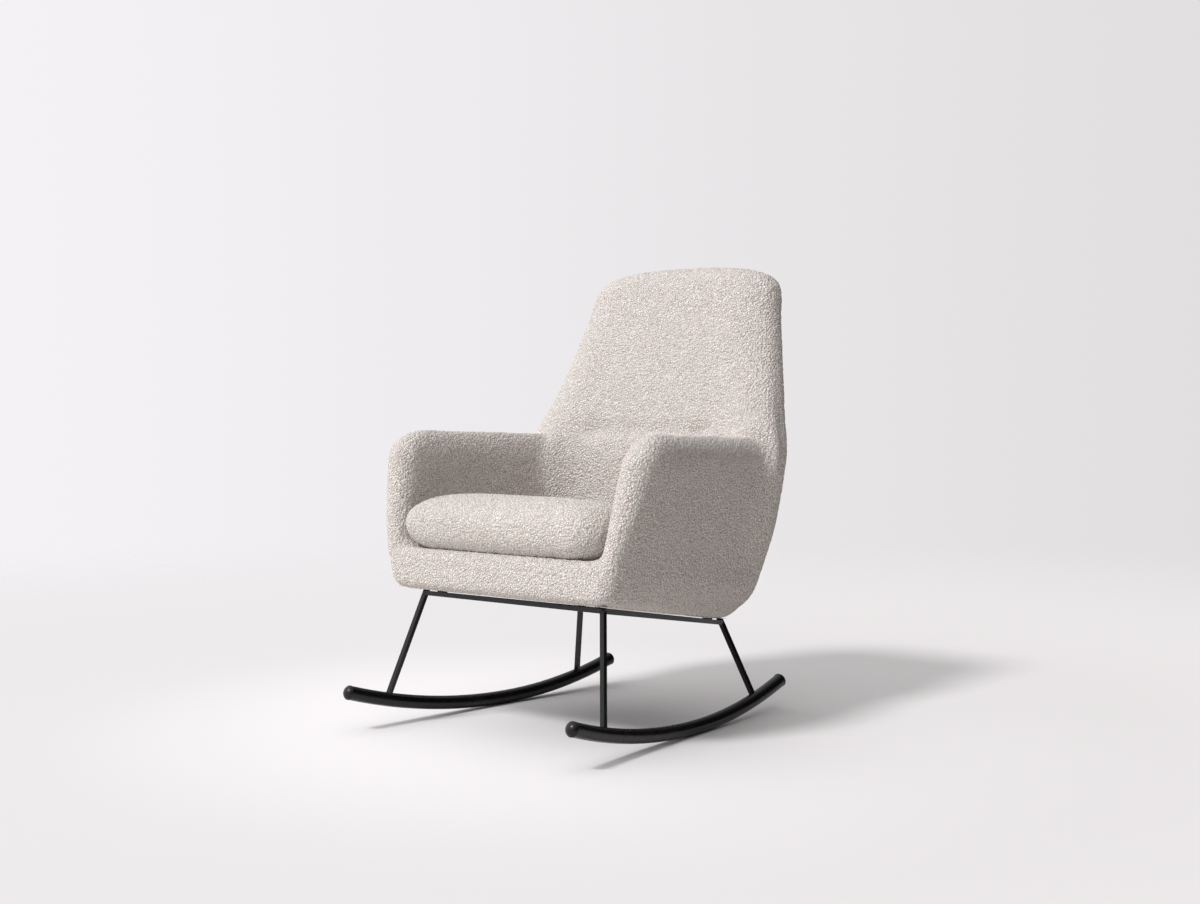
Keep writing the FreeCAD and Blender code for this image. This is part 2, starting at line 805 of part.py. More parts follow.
def seat_shell_solid():
    """The seat part of the shell: it flares from its bottom edge to the plane of the arms' feet."""
    low = size("shell_bottom")
    height = size("shell_top") - low
    wires = []
    flare = ((0.0, 30.0, 31.0, 56.0, 58.0), (0.1, 17.0, 21.0, 36.0, 37.0), (0.4, 7.0, 10.0, 15.0, 17.0))
    for share, front, front_half, rear, rear_half in flare + ((0.7, 3.0, 6.0, 6.0, 7.0), (1.0, 0, 0, 0, 0)):
        v_front = -(size("shell_front") - front * 0.6)
        v_rear = size("shell_rear") - rear * 0.8
        a = size("shell_front_half_width") - front_half
        b = size("shell_rear_half_width") - rear_half
        corners = [(-a, v_front), (a, v_front), (b, v_rear), (-b, v_rear)]
        w = low + height * share
        front_corner = size("shell_front_corner")
        rear_corner = size("shell_rear_corner")
        radii = (front_corner, front_corner, rear_corner, rear_corner)
        wires.append(rounded_outline(corners, radii, lambda point, w=w: Vector(point.x, point.y, w)))
    solid = Part.makeLoft(wires, True, False)
    solid.Placement = SEAT
    return solid


def joint_half_width():
    """Half the width of the shell where the arms meet the back, which follows the arms' tops."""
    return size("arm_top_half_width") - size("back_joint_inset")


def arm_levels():
    """Each level of an arm: its share of the way up, its drop below the top and its inset."""
    rise = size("arm_top") - seat_height_at(size("arm_top_front"), size("shell_top"))
    crown = size("arm_crown_radius")
    shares = [0.0, 0.12, 0.3, 0.55, 1 - crown / rise]
    levels = [(share, 0.0) for share in shares]
    for depth in CROWN_DEPTHS:
        levels.append((1 - crown * depth / rise, crown_inset(crown, crown * depth)))
    return levels


def arm_solid(side):
    """A padded arm: its outer face flares, its nose rakes back and its top is fully rounded."""
    front_y = size("arm_top_front")
    foot_z = seat_height_at(front_y, size("shell_top"))
    top_slope = math.tan(math.radians(size("arm_top_slope")))
    wires = []
    for share, inset in arm_levels():
        height = between(foot_z, size("arm_top"), share)
        slope = between(math.tan(TILT), top_slope, share)
        foot_outer = size("shell_front_half_width") - size("arm_foot_inset")
        top_outer = size("arm_top_half_width")
        outer = between(foot_outer, top_outer, share**0.75)
        inner = between(foot_outer - size("arm_foot_thickness"), top_outer - size("arm_top_thickness"), share)
        foot_front = seat_point(0, -size("shell_front"), size("shell_top")).y
        nose = between(foot_front + 2, front_y, share**1.2) + 1.4 * inset
        foot_rear = size("shell_rear_half_width") - size("arm_rear_inset")
        top_rear = joint_half_width() - size("arm_rear_inset")
        rear_outer = between(foot_rear, top_rear, share**0.8)
        foot_inner = foot_rear - size("arm_rear_foot_thickness")
        rear_inner = between(foot_inner, top_rear - size("arm_rear_top_thickness"), share)
        rear = between(size("arm_rear_foot_y"), size("back_joint_rear") - size("arm_rear_cover"), share)
        outer -= inset
        inner += inset
        radius = (outer - inner) / 2 - 1.5
        corners = [(inner, nose), (outer, nose), (rear_outer - inset, rear), (rear_inner + inset, rear)]
        if side < 0:
            corners = [(-u, v) for u, v in corners]
        place = level_place(height, slope, front_y)
        rear_radius = min(12.0, radius)
        wires.append(rounded_outline(corners, (radius, radius, rear_radius, rear_radius), place))
    return Part.makeLoft(wires, True, False)


def back_levels():
    """Each level of the back: height at the rear, slope, front y, rear y, half width and corner radii."""
    joint = size("back_joint_height")
    shoulder = size("back_shoulder_height")
    foot_rear = seat_point(0, size("shell_rear"), size("shell_top"))
    foot_front = size("back_joint_front") - 17
    levels = [(foot_rear.z, math.tan(TILT), foot_front, foot_rear.y, size("shell_rear_half_width"), 26.0, 58.0)]
    tub = ((0.16, 0.75, 0.35), (0.34, 0.45, 0.62), (0.6, 0.18, 0.85))
    for share, lean, grown in tub:
        height = between(foot_rear.z, joint, share)
        rear = between(foot_rear.y, size("back_joint_rear"), min(1.0, 1.35 * grown))
        half = between(size("shell_rear_half_width"), joint_half_width(), grown)
        front = between(foot_front, size("back_joint_front"), share)
        levels.append((height, math.tan(TILT) * lean, front, rear, half, 27.0, 60.0))
    high = ((0.0, 30.0, 62.0), (0.17, 30.0, 60.0), (0.45, 32.0, 54.0), (0.72, 34.0, 48.0), (1.0, 36.0, 43.0))
    for share, front_radius, rear_radius in high:
        height = between(joint, shoulder, share)
        front = between(size("back_joint_front"), size("back_shoulder_front"), share)
        rear = between(size("back_joint_rear"), size("back_shoulder_rear"), share**1.25)
        half = between(joint_half_width(), size("back_shoulder_half_width"), share)
        levels.append((height, 0.0, front, rear, half, front_radius, rear_radius))
    lean = (size("back_shoulder_front") - size("back_joint_front")) / (shoulder - joint)
    for share, inset, narrowed in ((0.45, 2.0, 0.1), (0.74, 10.0, 0.3), (0.91, 21.0, 0.62), (1.0, 33.0, 1.0)):
        rise = size("back_crown_height") * share
        front = size("back_shoulder_front") + lean * rise + inset
        rear = size("back_shoulder_rear") + lean * rise * 0.6 - inset
        half = between(size("back_shoulder_half_width"), size("back_crown_half_width"), narrowed)
        radius = (rear - front) / 2 - 1.5
        levels.append((shoulder + rise, 0.0, front, rear, half, radius, radius))
    return levels


def back_solid():
    """The back: it stands on the seat part, leans back above the arms and narrows to a soft crown."""
    wires = []
    for height, slope, front, rear, half, front_radius, rear_radius in back_levels():
        corners = [(-half, front), (half, front), (half, rear), (-half, rear)]
        radii = (front_radius, front_radius, rear_radius, rear_radius)
        wires.append(rounded_outline(corners, radii, level_place(height, slope, rear)))
    return Part.makeLoft(wires, True, False)


def hollow_prism(points, low, high):
    """A prism over a plan outline of the seat frame."""
    face = Part.Face(Part.makePolygon([Vector(u, v, low) for u, v in points + points[:1]]))
    solid = face.extrude(Vector(0, 0, high - low))
    solid.Placement = SEAT
    return solid


def upholstery_spaces():
    """The hollows that the shell leaves for its timber, webbing and screws."""
    gap = size("fit_gap")
    low = size("shell_bottom")
    ring_top = low + size("board_thickness") + size("rail_height")
    ring = hollow_prism(
        board_quad(-size("board_front") - gap, size("board_rear") + gap, -gap),
        low - 1,
        ring_top + size("strap_thickness") + gap,
    )
    spaces = [ring, panel_space(1.0), panel_space(-1.0)]
    for end in ("front", "rear"):
        half = size(f"{end}_bearer_half_length") + gap
        start = size(f"{end}_bearer_front") - gap
        lengths = (2 * half, size("bearer_width") + 2 * gap, size("bearer_height") + gap)
        spaces.append(box_solid((-half, start, ring_top), lengths))
        for u, v in bearer_screw_places(end):
            hole = Part.makeCylinder(
                size("screw_head_radius") + gap,
                size("screw_head_height") + gap,
                Vector(u, v, bearer_top()),
            )
            hole.Placement = SEAT
            spaces.append(hole)
    back = post_slice(low, size("post_top") + gap, size("strap_thickness") + gap, size("back_hollow_depth"))
    half = size("post_half_gap") + size("post_width") + gap
    profile = Part.Face(Part.makePolygon([Vector(-half, v, w) for v, w in back + back[:1]]))
    hollow = profile.extrude(Vector(2 * half, 0, 0))
    hollow.Placement = SEAT
    spaces.append(hollow)
    return spaces


def shell_parts():
    """The four upholstered parts of the shell, split where an upholsterer would join them."""
    spaces = upholstery_spaces()
    reach = 2000.0
    split = size("arm_split_y")
    ahead = Part.makeBox(reach, reach, reach, Vector(-reach / 2, split - reach, 0))
    behind = Part.makeBox(reach, reach, reach, Vector(-reach / 2, split, 0))
    back = back_solid()
    for side_name, side in SIDES.items():
        arm = arm_solid(side)
        shape_object(f"arm_upholstery_{side_name}", arm.common(ahead).cut(panel_space(side)))
        back = back.fuse(arm.common(behind))
    back = back.removeSplitter()
    shape_object("back_upholstery", back.cut(spaces[-1]))
    seat = seat_shell_solid()
    for space in spaces:
        seat = seat.cut(space)
    shape_object("seat_upholstery", seat)


# Loose seat cushion


def drawn_outline(centres, radius, draw, w):
    """A closed wire of four corner arcs joined by arcs that curve inwards by draw at mid side."""
    edges = []
    count = len(centres)
    points = [Vector(u, v, w) for u, v in centres]
    sides = []
    for index in range(count):
        start = points[index]
        end = points[(index + 1) % count]
        along = (end - start).normalize()
        out = Vector(along.y, -along.x, 0)
        half = (end - start).Length / 2
        reach = (half * half + draw * draw) / (2 * draw)
        centre = (start + end) / 2 + out * (radius - draw + reach - radius)
        first = start + (centre - start).normalize() * radius
        last = end + (centre - end).normalize() * radius
        middle = (start + end) / 2 + out * (radius - draw)
        sides.append((first, middle, last))
    for index in range(count):
        arrive = sides[index - 1][2]
        leave = sides[index][0]
        corner = points[index]
        top = corner + ((arrive + leave) / 2 - corner).normalize() * radius
        edges.append(Part.Arc(arrive, top, leave).toShape())
        edges.append(Part.Arc(*sides[index]).toShape())
    return Part.Wire(edges)


def cushion_levels(skin):
    """Heights over the deck with the inset of the outline there, for a form thinner by a skin."""
    equator = size("cushion_equator")
    top = size("cushion_height") - skin
    low = size("cushion_lower_round")
    run = size("cushion_crown_run")
    levels = []
    for share in (0.0, 0.12, 0.32, 0.62, 1.0):
        height = between(skin, equator, share)
        levels.append((height, low * (1 - math.sqrt(1 - (1 - share) ** 2))))
    for share in (0.3, 0.6, 0.82, 0.94, 0.99):
        height = between(equator, top, share)
        levels.append((height, run * (1 - math.sqrt(1 - share**2.2))))
    return levels


def cushion_form(skin):
    """The cushion as a crowned form with a rounded edge all round, drawn in between its corners."""
    base = size("shell_top") + size("fit_gap")
    wires = []
    for height, inset in cushion_levels(skin):
        shrink = inset + skin
        radius = size("cushion_corner") - skin
        front = -size("cushion_front") + size("cushion_corner") + shrink - skin
        rear = size("cushion_rear") - size("cushion_corner") - shrink + skin
        a = size("cushion_front_half_width") - size("cushion_corner") - shrink + skin
        b = size("cushion_rear_half_width") - size("cushion_corner") - shrink + skin
        centres = [(-a, front), (a, front), (b, rear), (-b, rear)]
        wires.append(drawn_outline(centres, radius, size("cushion_draw_in"), base + height))
    solid = Part.makeLoft(wires, True, False)
    solid.Placement = SEAT
    return solid


def zip_placement():
    """The zip's frame: x along the zip, z out of the cushion's lower rear edge, y across the tape."""
    low = size("cushion_lower_round")
    equator = size("cushion_equator")
    turn = math.radians(45)
    v = size("cushion_rear") - size("cushion_draw_in") - low * (1 - math.cos(turn))
    w = size("shell_top") + size("fit_gap") + equator * (1 - math.sin(turn))
    out = Vector(0, math.cos(turn), -math.sin(turn))
    base = Vector(0, v, w) - out * size("zip_facet_depth")
    turned = Rotation(Vector(1, 0, 0), Vector(), out, "ZXY")
    return SEAT.multiply(Placement(base, turned))


def cushion_parts():
    """The foam core, its cover with the flat seat of the zip, and the zip's tape and chain."""
    place = zip_placement()
    skin = size("cushion_cover_thickness")
    gap = size("fit_gap")
    reach = size("zip_tape_width")
    length = size("zip_length")
    margin = 2 * size("slider_length")
    pocket = Part.makeBox(length + margin, 4 * reach, 2 * reach, Vector(-length / 2 - margin / 2, -2 * reach, 0))
    pocket.Placement = place
    deeper = Part.makeBox(
        length + margin + 2 * skin,
        4 * reach,
        3 * reach,
        Vector(-length / 2 - margin / 2 - skin, -2 * reach, -skin),
    )
    deeper.Placement = place
    hollow = cushion_form(skin).cut(deeper)
    shape_object("cushion_cover", cushion_form(0.0).cut(pocket).cut(hollow))
    deepest = deeper.copy()
    deepest.Placement = place.multiply(Placement(Vector(0, 0, -gap), Rotation()))
    shape_object("cushion_core", cushion_form(skin + gap).cut(deepest))
    half = length / 2
    tape_place = place.multiply(Placement(Vector(-half, -reach / 2, 0), Rotation()))
    lengths = ("Sizes.zip_length", "Sizes.zip_tape_width", "Sizes.zip_tape_thickness")
    kept(box_object("zip_tape", lengths, tape_place), "zip_tape")
    chain_start = Vector(-half, -size("zip_chain_width") / 2, size("zip_tape_thickness"))
    lengths = ("Sizes.zip_length", "Sizes.zip_chain_width", "Sizes.zip_chain_height")
    chain = box_object("zip_chain", lengths, place.multiply(Placement(chain_start, Rotation())))
    kept(chain, "zip_chain")


def slider_base():
    """Where the closed zip's slider stands: its rest place at one end of the chain, in the zip's frame."""
    x = -size("zip_length") / 2 + size("slider_length")
    return Vector(x, 0, size("zip_tape_thickness") + size("fit_gap"))


def pull_eye_radius():
    """The outer radius of the pull's eye."""
    return size("slider_pin_radius") + size("pull_clearance") + size("pull_eye_wall")


def pin_height():
    """How high the pin of the pull stands over the slider's foot: the eye turns clear of the slider."""
    return size("slider_height") + pull_eye_radius() + size("pull_clearance")


def zip_slider():
    """The slider rides over the chain; two ears on its back hold the pin of the pull."""
    place = zip_placement()
    base = slider_base()
    length = size("slider_length")
    width = size("slider_width")
    height = size("slider_height")
    ear_gap = size("slider_ear_gap")
    wall = size("slider_wall")
    pin = size("slider_pin_radius")
    shell = Part.makeBox(length, width, height, base + Vector(-length / 2, -width / 2, 0))
    clear = size("fit_gap")
    channel = Part.makeBox(
        2 * length,
        size("zip_chain_width") + 2 * clear,
        size("zip_chain_height") + clear,
        base + Vector(-length, -size("zip_chain_width") / 2 - clear, -clear),
    )
    solid = shell.cut(channel)
    eye = pin_height()
    for way in (-1.0, 1.0):
        y = way * (ear_gap / 2 + wall / 2) - wall / 2
        ear = Part.makeBox(4 * pin, wall, eye + pin - height, base + Vector(-2 * pin, y, height))
        solid = solid.fuse(ear)
    rod = Part.makeCylinder(pin, ear_gap + wall, base + Vector(0, -(ear_gap + wall) / 2, eye), Vector(0, 1, 0))
    shape_object("zip_slider", solid.fuse(rod).removeSplitter(), place)


def zip_pull():
    """A flat tab with an eye round the slider's pin; it lies along the zip."""
    place = zip_placement()
    base = slider_base()
    pin = size("slider_pin_radius")
    clear = size("pull_clearance")
    width = size("slider_ear_gap") - 2 * clear
    centre = base + Vector(0, -width / 2, pin_height())
    across = Vector(0, 1, 0)
    eye = Part.makeCylinder(pull_eye_radius(), width, centre, across)
    thick = size("pull_thickness")
    tab = Part.makeBox(size("pull_length"), width, thick, centre + Vector(0, 0, -thick / 2))
    hole = Part.makeCylinder(pin + clear, width, centre, across)
    shape_object("zip_pull", eye.fuse(tab).cut(hole), place)


# Build every piece in the order in which the chair goes together

legs = {}
for side_name, side in SIDES.items():
    rocker_tube(f"rocker_{side_name}", side)
    for end in ("front", "rear"):
        end_cap(f"rocker_cap_{end}_{side_name}", side, end)
        legs[end, side_name] = leg(f"leg_{end}_{side_name}", side, end)
cross_rails = []
for end in ("front", "rear"):
    cross_rails.append(cross_rail(f"frame_rail_{end}", end, [legs[end, side_name] for side_name in SIDES]))
for side_name, side in SIDES.items():
    side_legs = [legs[end, side_name] for end in ("front", "rear")]
    side_rail(f"frame_rail_{side_name}", side, side_legs + cross_rails)
for side_name, side, end in all_corners():
    corner_plate(f"corner_plate_{end}_{side_name}", side, end)
seat_fasteners()
seat_timber()
bearer_screws()
for side_name, side in SIDES.items():
    arm_panel(f"arm_panel_{side_name}", side)
back_timber()
shell_parts()
cushion_parts()
zip_slider()
zip_pull()
doc.recompute()

for item in doc.Objects:
    if "Invalid" in item.State or "Error" in item.State:
        raise RuntimeError(f"{item.Label} did not recompute: {item.State}")
os.makedirs("parts", exist_ok=True)
for item in exported:
    if item.Shape.isNull() or not item.Shape.isValid() or not item.Shape.Solids:
        raise RuntimeError(f"{item.Label} has no valid solid")
for item in exported:
    item.Shape.exportStep(f"parts/{item.Label}.step")
    volume = sum(solid.Volume for solid in item.Shape.Solids)
    print(f"{item.Label}: {len(item.Shape.Solids)} solid(s), {volume / 1000:.1f} cm3")
print(len(exported), "nodes")
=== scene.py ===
"""Looks of a high-back rocking armchair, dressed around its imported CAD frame.

Lengths are metres in the row frame: +Z up, the sitter faces -Y, +X is the sitter's left.
"""

import itertools
import json
import logging
import math
from dataclasses import dataclass
from enum import Enum

import bpy
import numpy as np
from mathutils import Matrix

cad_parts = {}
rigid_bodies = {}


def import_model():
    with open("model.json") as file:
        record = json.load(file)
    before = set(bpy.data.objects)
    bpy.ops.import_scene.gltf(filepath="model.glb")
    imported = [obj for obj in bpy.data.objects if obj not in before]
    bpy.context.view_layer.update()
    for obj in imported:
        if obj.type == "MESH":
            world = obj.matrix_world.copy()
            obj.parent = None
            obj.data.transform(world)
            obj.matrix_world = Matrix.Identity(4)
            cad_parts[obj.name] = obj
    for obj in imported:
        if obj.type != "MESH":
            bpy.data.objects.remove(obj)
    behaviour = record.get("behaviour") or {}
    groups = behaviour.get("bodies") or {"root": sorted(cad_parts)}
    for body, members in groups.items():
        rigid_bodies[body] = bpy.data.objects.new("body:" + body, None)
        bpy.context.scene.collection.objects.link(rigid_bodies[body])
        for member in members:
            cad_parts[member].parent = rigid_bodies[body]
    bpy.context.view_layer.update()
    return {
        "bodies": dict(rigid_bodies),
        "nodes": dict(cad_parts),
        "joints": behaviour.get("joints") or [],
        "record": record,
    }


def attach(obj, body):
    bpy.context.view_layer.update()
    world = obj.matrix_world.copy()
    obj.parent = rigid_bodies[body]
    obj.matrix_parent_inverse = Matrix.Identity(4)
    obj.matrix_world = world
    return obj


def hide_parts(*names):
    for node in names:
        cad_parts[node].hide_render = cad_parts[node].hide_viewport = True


LOG = logging.getLogger("armchair")
Array = np.ndarray
Colour = Direction = Growth = tuple[float, float, float]
Node = bpy.types.Node
Socket = bpy.types.NodeSocket
Groups = dict[str, bpy.types.NodeTree]
Inputs = dict[str | int, object]

NUB_CELL = 0.0078
NUB_LIFT = 0.0011


class Body(str, Enum):
    """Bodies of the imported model."""

    CHAIR = "chair"
    CUSHION = "cushion"


class Slot(str, Enum):
    """Material slots of the record."""

    BOUCLE = "boucle"
    STEEL = "black_steel"
    PLASTIC = "black_plastic"
    TIMBER = "timber"
    WEBBING = "webbing"
    DUST_CLOTH = "dust_cloth"
    FOAM = "foam"
    ZINC = "zinc_steel"
    ZIP_TAPE = "zip_tape"
    ZIP_METAL = "zip_metal"


# Geometry helpers


def smoothstep(low: float, high: float, value: Array) -> Array:
    """A ramp that leaves low at 0 and reaches high at 1 with level ends.

    Args:
        low: The value at which the ramp starts.
        high: The value at which it ends; it may be below low.
        value: Where to read it.

    Returns:
        t^2 (3 - 2 t), with t = (value - low) / (high - low) held to 0..1.
    """
    t = np.clip((value - low) / (high - low), 0.0, 1.0)
    return t * t * (3.0 - 2.0 * t)


def hill(*terms: tuple[Array, float]) -> Array:
    """A soft hill of height 1: e^-(sum of (offset / width)^2) over its terms."""
    return np.exp(-sum((offset / width) ** 2 for offset, width in terms))


def unit(vectors: Array) -> Array:
    """Vectors scaled to length 1 along the last axis."""
    return vectors / np.maximum(np.linalg.norm(vectors, axis=-1, keepdims=True), 1e-12)


def blend_keys(keys: Array, at: Array) -> Array:
    """A smooth curve through rows of key values.

    Args:
        keys: (n, m) array; column 0 rises and is the curve's own parameter.
        at: Parameters to read the curve at.

    Returns:
        (len(at), m) array. The curve is cubic between two keys. Its slope at a key is the mean of the
        slopes on both sides, where the shorter side counts more.
    """
    x = keys[:, 0]
    slopes = np.gradient(keys, x, axis=0)
    index = np.clip(np.searchsorted(x, at) - 1, 0, len(x) - 2)
    step = (x[index + 1] - x[index])[:, None]
    t = (at - x[index])[:, None] / step
    start = keys[index] * (2 * t**3 - 3 * t**2 + 1) + slopes[index] * step * (t**3 - 2 * t**2 + t)
    return start + keys[index + 1] * (3 * t**2 - 2 * t**3) + slopes[index + 1] * step * (t**3 - t**2)


def rounded_rings(corners: Array, radii: Array, steps: int) -> Array:
    """Closed plan outlines whose corners are rounded by arcs.

    Args:
        corners: (levels, 4, 2) corner points, all in the same turning direction.
        radii: (levels, 4) radius of each corner.
        steps: Points on each arc.

    Returns:
        (levels, 4 * steps, 2) points; between arcs the outline runs straight.
    """
    before = unit(np.roll(corners, 1, axis=1) - corners)
    after = unit(np.roll(corners, -1, axis=1) - corners)
    half = np.arccos(np.clip((before * after).sum(-1), -1, 1)) / 2
    middle = unit(before + after)
    centre = corners + middle * (radii / np.sin(half))[..., None]
    reach = (radii / np.tan(half))[..., None]
    start = (corners + before * reach - centre)[:, :, None]
    end = (corners + after * reach - centre)[:, :, None]
    sweep = (np.pi - 2 * half)[..., None, None]
    t = np.linspace(0, 1, steps)[None, None, :, None]
    arcs = (np.sin((1 - t) * sweep) * start + np.sin(t * sweep) * end) / np.sin(sweep)
    points = centre[:, :, None] + arcs
    return points.reshape(len(corners), -1, 2)


def quad_rings(
    half_front: Array, half_rear: Array, front: Array, rear: Array, radius_front: Array, radius_rear: Array
) -> Array:
    """Rounded outlines, one per level, that are the same on both sides of the middle plane.

    Args:
        half_front: Half widths at the front edge.
        half_rear: Half widths at the rear edge.
        front: Front edges.
        rear: Rear edges.
        radius_front: Radii of the front corners.
        radius_rear: Radii of the rear corners.

    Returns:
        (levels, points, 2) outlines.
    """
    right_front = np.stack([-half_front, front], -1)
    left_front = np.stack([half_front, front], -1)
    left_rear = np.stack([half_rear, rear], -1)
    right_rear = np.stack([-half_rear, rear], -1)
    corners = np.stack([right_front, left_front, left_rear, right_rear], 1)
    radii = np.stack([radius_front, radius_front, radius_rear, radius_rear], 1)
    return rounded_rings(corners, radii, 10)


def grow(rule: Growth, share: Array) -> Array:
    """A size that grows with height: its value at the foot, plus a gain times a power of the share."""
    foot, gain, power = rule
    return foot + gain * share**power


@dataclass(frozen=True)
class SeatFrame:
    """The leaning frame of the seat: u across, v towards the back, w square to the steel rails."""

    tilt: float = math.radians(9.2)
    height: float = 0.2497

    def to_row(self, points: Array) -> Array:
        """Points (u, v, w) of the seat frame, in the row frame."""
        c, s = math.cos(self.tilt), math.sin(self.tilt)
        u, v, w = points[..., 0], points[..., 1], points[..., 2]
        return np.stack([u, v * c + w * s, self.height - v * s + w * c], -1)

    def from_row(self, points: Array) -> Array:
        """Points of the row frame as (u, v, w)."""
        c, s = math.cos(self.tilt), math.sin(self.tilt)
        x, y, z = points[..., 0], points[..., 1], points[..., 2] - self.height
        return np.stack([x, y * c - z * s, y * s + z * c], -1)

    def plane_height(self, y: float, w: float) -> float:
        """The height at y of the plane parallel to the seat at w."""
        return self.height + w / math.cos(self.tilt) - y * math.tan(self.tilt)


SEAT = SeatFrame()


@dataclass
class Surface:
    """A closed or open mesh as arrays."""

    points: Array
    faces: list[tuple[int, ...]] | Array

    @classmethod
    def from_rings(cls, rings: Array) -> "Surface":
        """A closed surface through stacked rings.

        Args:
            rings: (levels, points, 3) rings in order from one end to the other.

        Returns:
            Quads between the rings and one many-sided face on each end.
        """
        levels, count, _ = rings.shape
        index = np.arange(levels * count).reshape(levels, count)
        turned = np.roll(index, -1, axis=1)
        quads = np.stack([index[:-1], turned[:-1], turned[1:], index[1:]], -1).reshape(-1, 4)
        faces = [tuple(face) for face in quads.tolist()]
        faces += [tuple(index[0, ::-1].tolist()), tuple(index[-1].tolist())]
        return cls(rings.reshape(-1, 3), faces)

    @classmethod
    def joined(cls, parts: list["Surface"]) -> "Surface":
        """Several surfaces in one mesh, each still on its own."""
        starts = np.cumsum([0] + [len(part.points) for part in parts[:-1]]).tolist()
        shifted = zip(parts, starts)
        faces = [tuple(i + start for i in face) for part, start in shifted for face in part.faces]
        return cls(np.concatenate([part.points for part in parts]), faces)

    @classmethod
    def from_mesh(cls, mesh: bpy.types.Mesh) -> "Surface":
        """The arrays of a mesh that has only four-sided faces."""
        points = np.zeros(len(mesh.vertices) * 3)
        mesh.vertices.foreach_get("co", points)
        corners = np.zeros(len(mesh.loops), np.int32)
        mesh.loops.foreach_get("vertex_index", corners)
        return cls(points.reshape(-1, 3), corners.reshape(-1, 4))

    def to_mesh(self, name: str) -> bpy.types.Mesh:
        """A Blender mesh of this surface."""
        mesh = bpy.data.meshes.new(name)
        faces = self.faces.tolist() if isinstance(self.faces, np.ndarray) else self.faces
        mesh.from_pydata(self.points.tolist(), [], faces)
        mesh.update()
        return mesh

    def to_object(self, name: str) -> bpy.types.Object:
        """An object of this surface, linked to the scene."""
        obj = bpy.data.objects.new(name, self.to_mesh(name))
        bpy.context.scene.collection.objects.link(obj)
        return obj

    @classmethod
    def taken_from(cls, obj: bpy.types.Object) -> "Surface":
        """The four-sided mesh that an object's modifiers make. The object and its meshes are removed."""
        graph = bpy.context.evaluated_depsgraph_get()
        made = bpy.data.meshes.new_from_object(obj.evaluated_get(graph))
        plain = obj.data
        bpy.data.objects.remove(obj)
        bpy.data.meshes.remove(plain)
        surface = cls.from_mesh(made)
        bpy.data.meshes.remove(made)
        return surface

    def through(self, kind: str, **settings: object) -> "Surface":
        """The four-sided mesh that one Blender modifier makes of this surface.

        Args:
            kind: The modifier's type.
            **settings: Its values.

        Returns:
            The new surface; nothing is left in the scene.
        """
        obj = self.to_object("working")
        modifier = obj.modifiers.new("step", kind)
        for key, value in settings.items():
            setattr(modifier, key, value)
        return Surface.taken_from(obj)

    def fused(self, voxel: float) -> "Surface":
        """One even skin of square faces around everything that overlaps."""
        return self.through("REMESH", mode="VOXEL", voxel_size=voxel, adaptivity=0.0)

    def subdivided(self) -> "Surface":
        """The same form with four faces for each one."""
        return self.through("SUBSURF", levels=1, render_levels=1)

    @staticmethod
    def summed(values: Array, corners: Array, count: int) -> Array:
        """Values gathered at the vertices that they belong to."""
        return np.stack([np.bincount(corners, values[:, k], count) for k in range(values.shape[1])], -1)

    def normals(self) -> Array:
        """Unit normals at the vertices: the sum of half the cross products of each face's diagonals."""
        a, b, c, d = (self.points[self.faces[:, k]] for k in range(4))
        face = np.cross(c - a, d - b)
        return unit(self.summed(np.repeat(face, 4, axis=0), self.faces.ravel(), len(self.points)))

    def relax(self, passes: int, hollow: float | Array, proud: float) -> None:
        """Move every vertex towards its neighbours' middle, at one rate in hollows and another on ridges.

        Args:
            passes: How many times.
            hollow: Share of the way where that middle lies outside the surface, for all or for each.
            proud: Share of the way where it lies inside.
        """
        edges = np.concatenate([self.faces[:, [k, (k + 1) % 4]] for k in range(4)])
        edges = np.unique(np.sort(edges, axis=1), axis=0)
        ends = np.concatenate([edges, edges[:, ::-1]])
        count = len(self.points)
        weight = np.bincount(ends[:, 0], minlength=count)[:, None]
        for _ in range(passes):
            middle = self.summed(self.points[ends[:, 1]], ends[:, 0], count) / weight
            move = middle - self.points
            out = (move * self.normals()).sum(-1, keepdims=True) > 0
            self.points = self.points + move * np.where(out, hollow, proud)

    def raise_nubs(self, seed: int) -> None:
        """Raise the wool's nubs along the normals; the lowest places sink by a third of a nub."""
        nub = smoothstep(0.75, 0.1, cell_noise(self.points, NUB_CELL, seed))
        self.points = self.points + self.normals() * (NUB_LIFT * (nub - 0.35))[:, None]


def cell_noise(points: Array, cell: float, seed: int) -> Array:
    """Distance from each point to the nearest of one scattered dot per cubic cell.

    Args:
        points: (n, 3) places.
        cell: The cells' size.
        seed: Picks the pattern.

    Returns:
        Distances in cells. The dot of cell (i, j, k) sits where a hash of i, j, k and the seed puts it.
    """
    grid = points / cell
    base = np.floor(grid).astype(np.int64)
    best = np.full(len(points), 9.0)
    for step in itertools.product((-1, 0, 1), repeat=3):
        corner = base + np.array(step)
        key = corner[:, 0] * 73856093 ^ corner[:, 1] * 19349663 ^ corner[:, 2] * 83492791 ^ seed
        spread = np.stack([(key * k >> 7) & 0xFFFF for k in (2654435761, 40503177, 97531247)], -1) / 65535.0
        best = np.minimum(best, ((grid - corner - spread) ** 2).sum(-1))
    return np.sqrt(best)


# Node trees


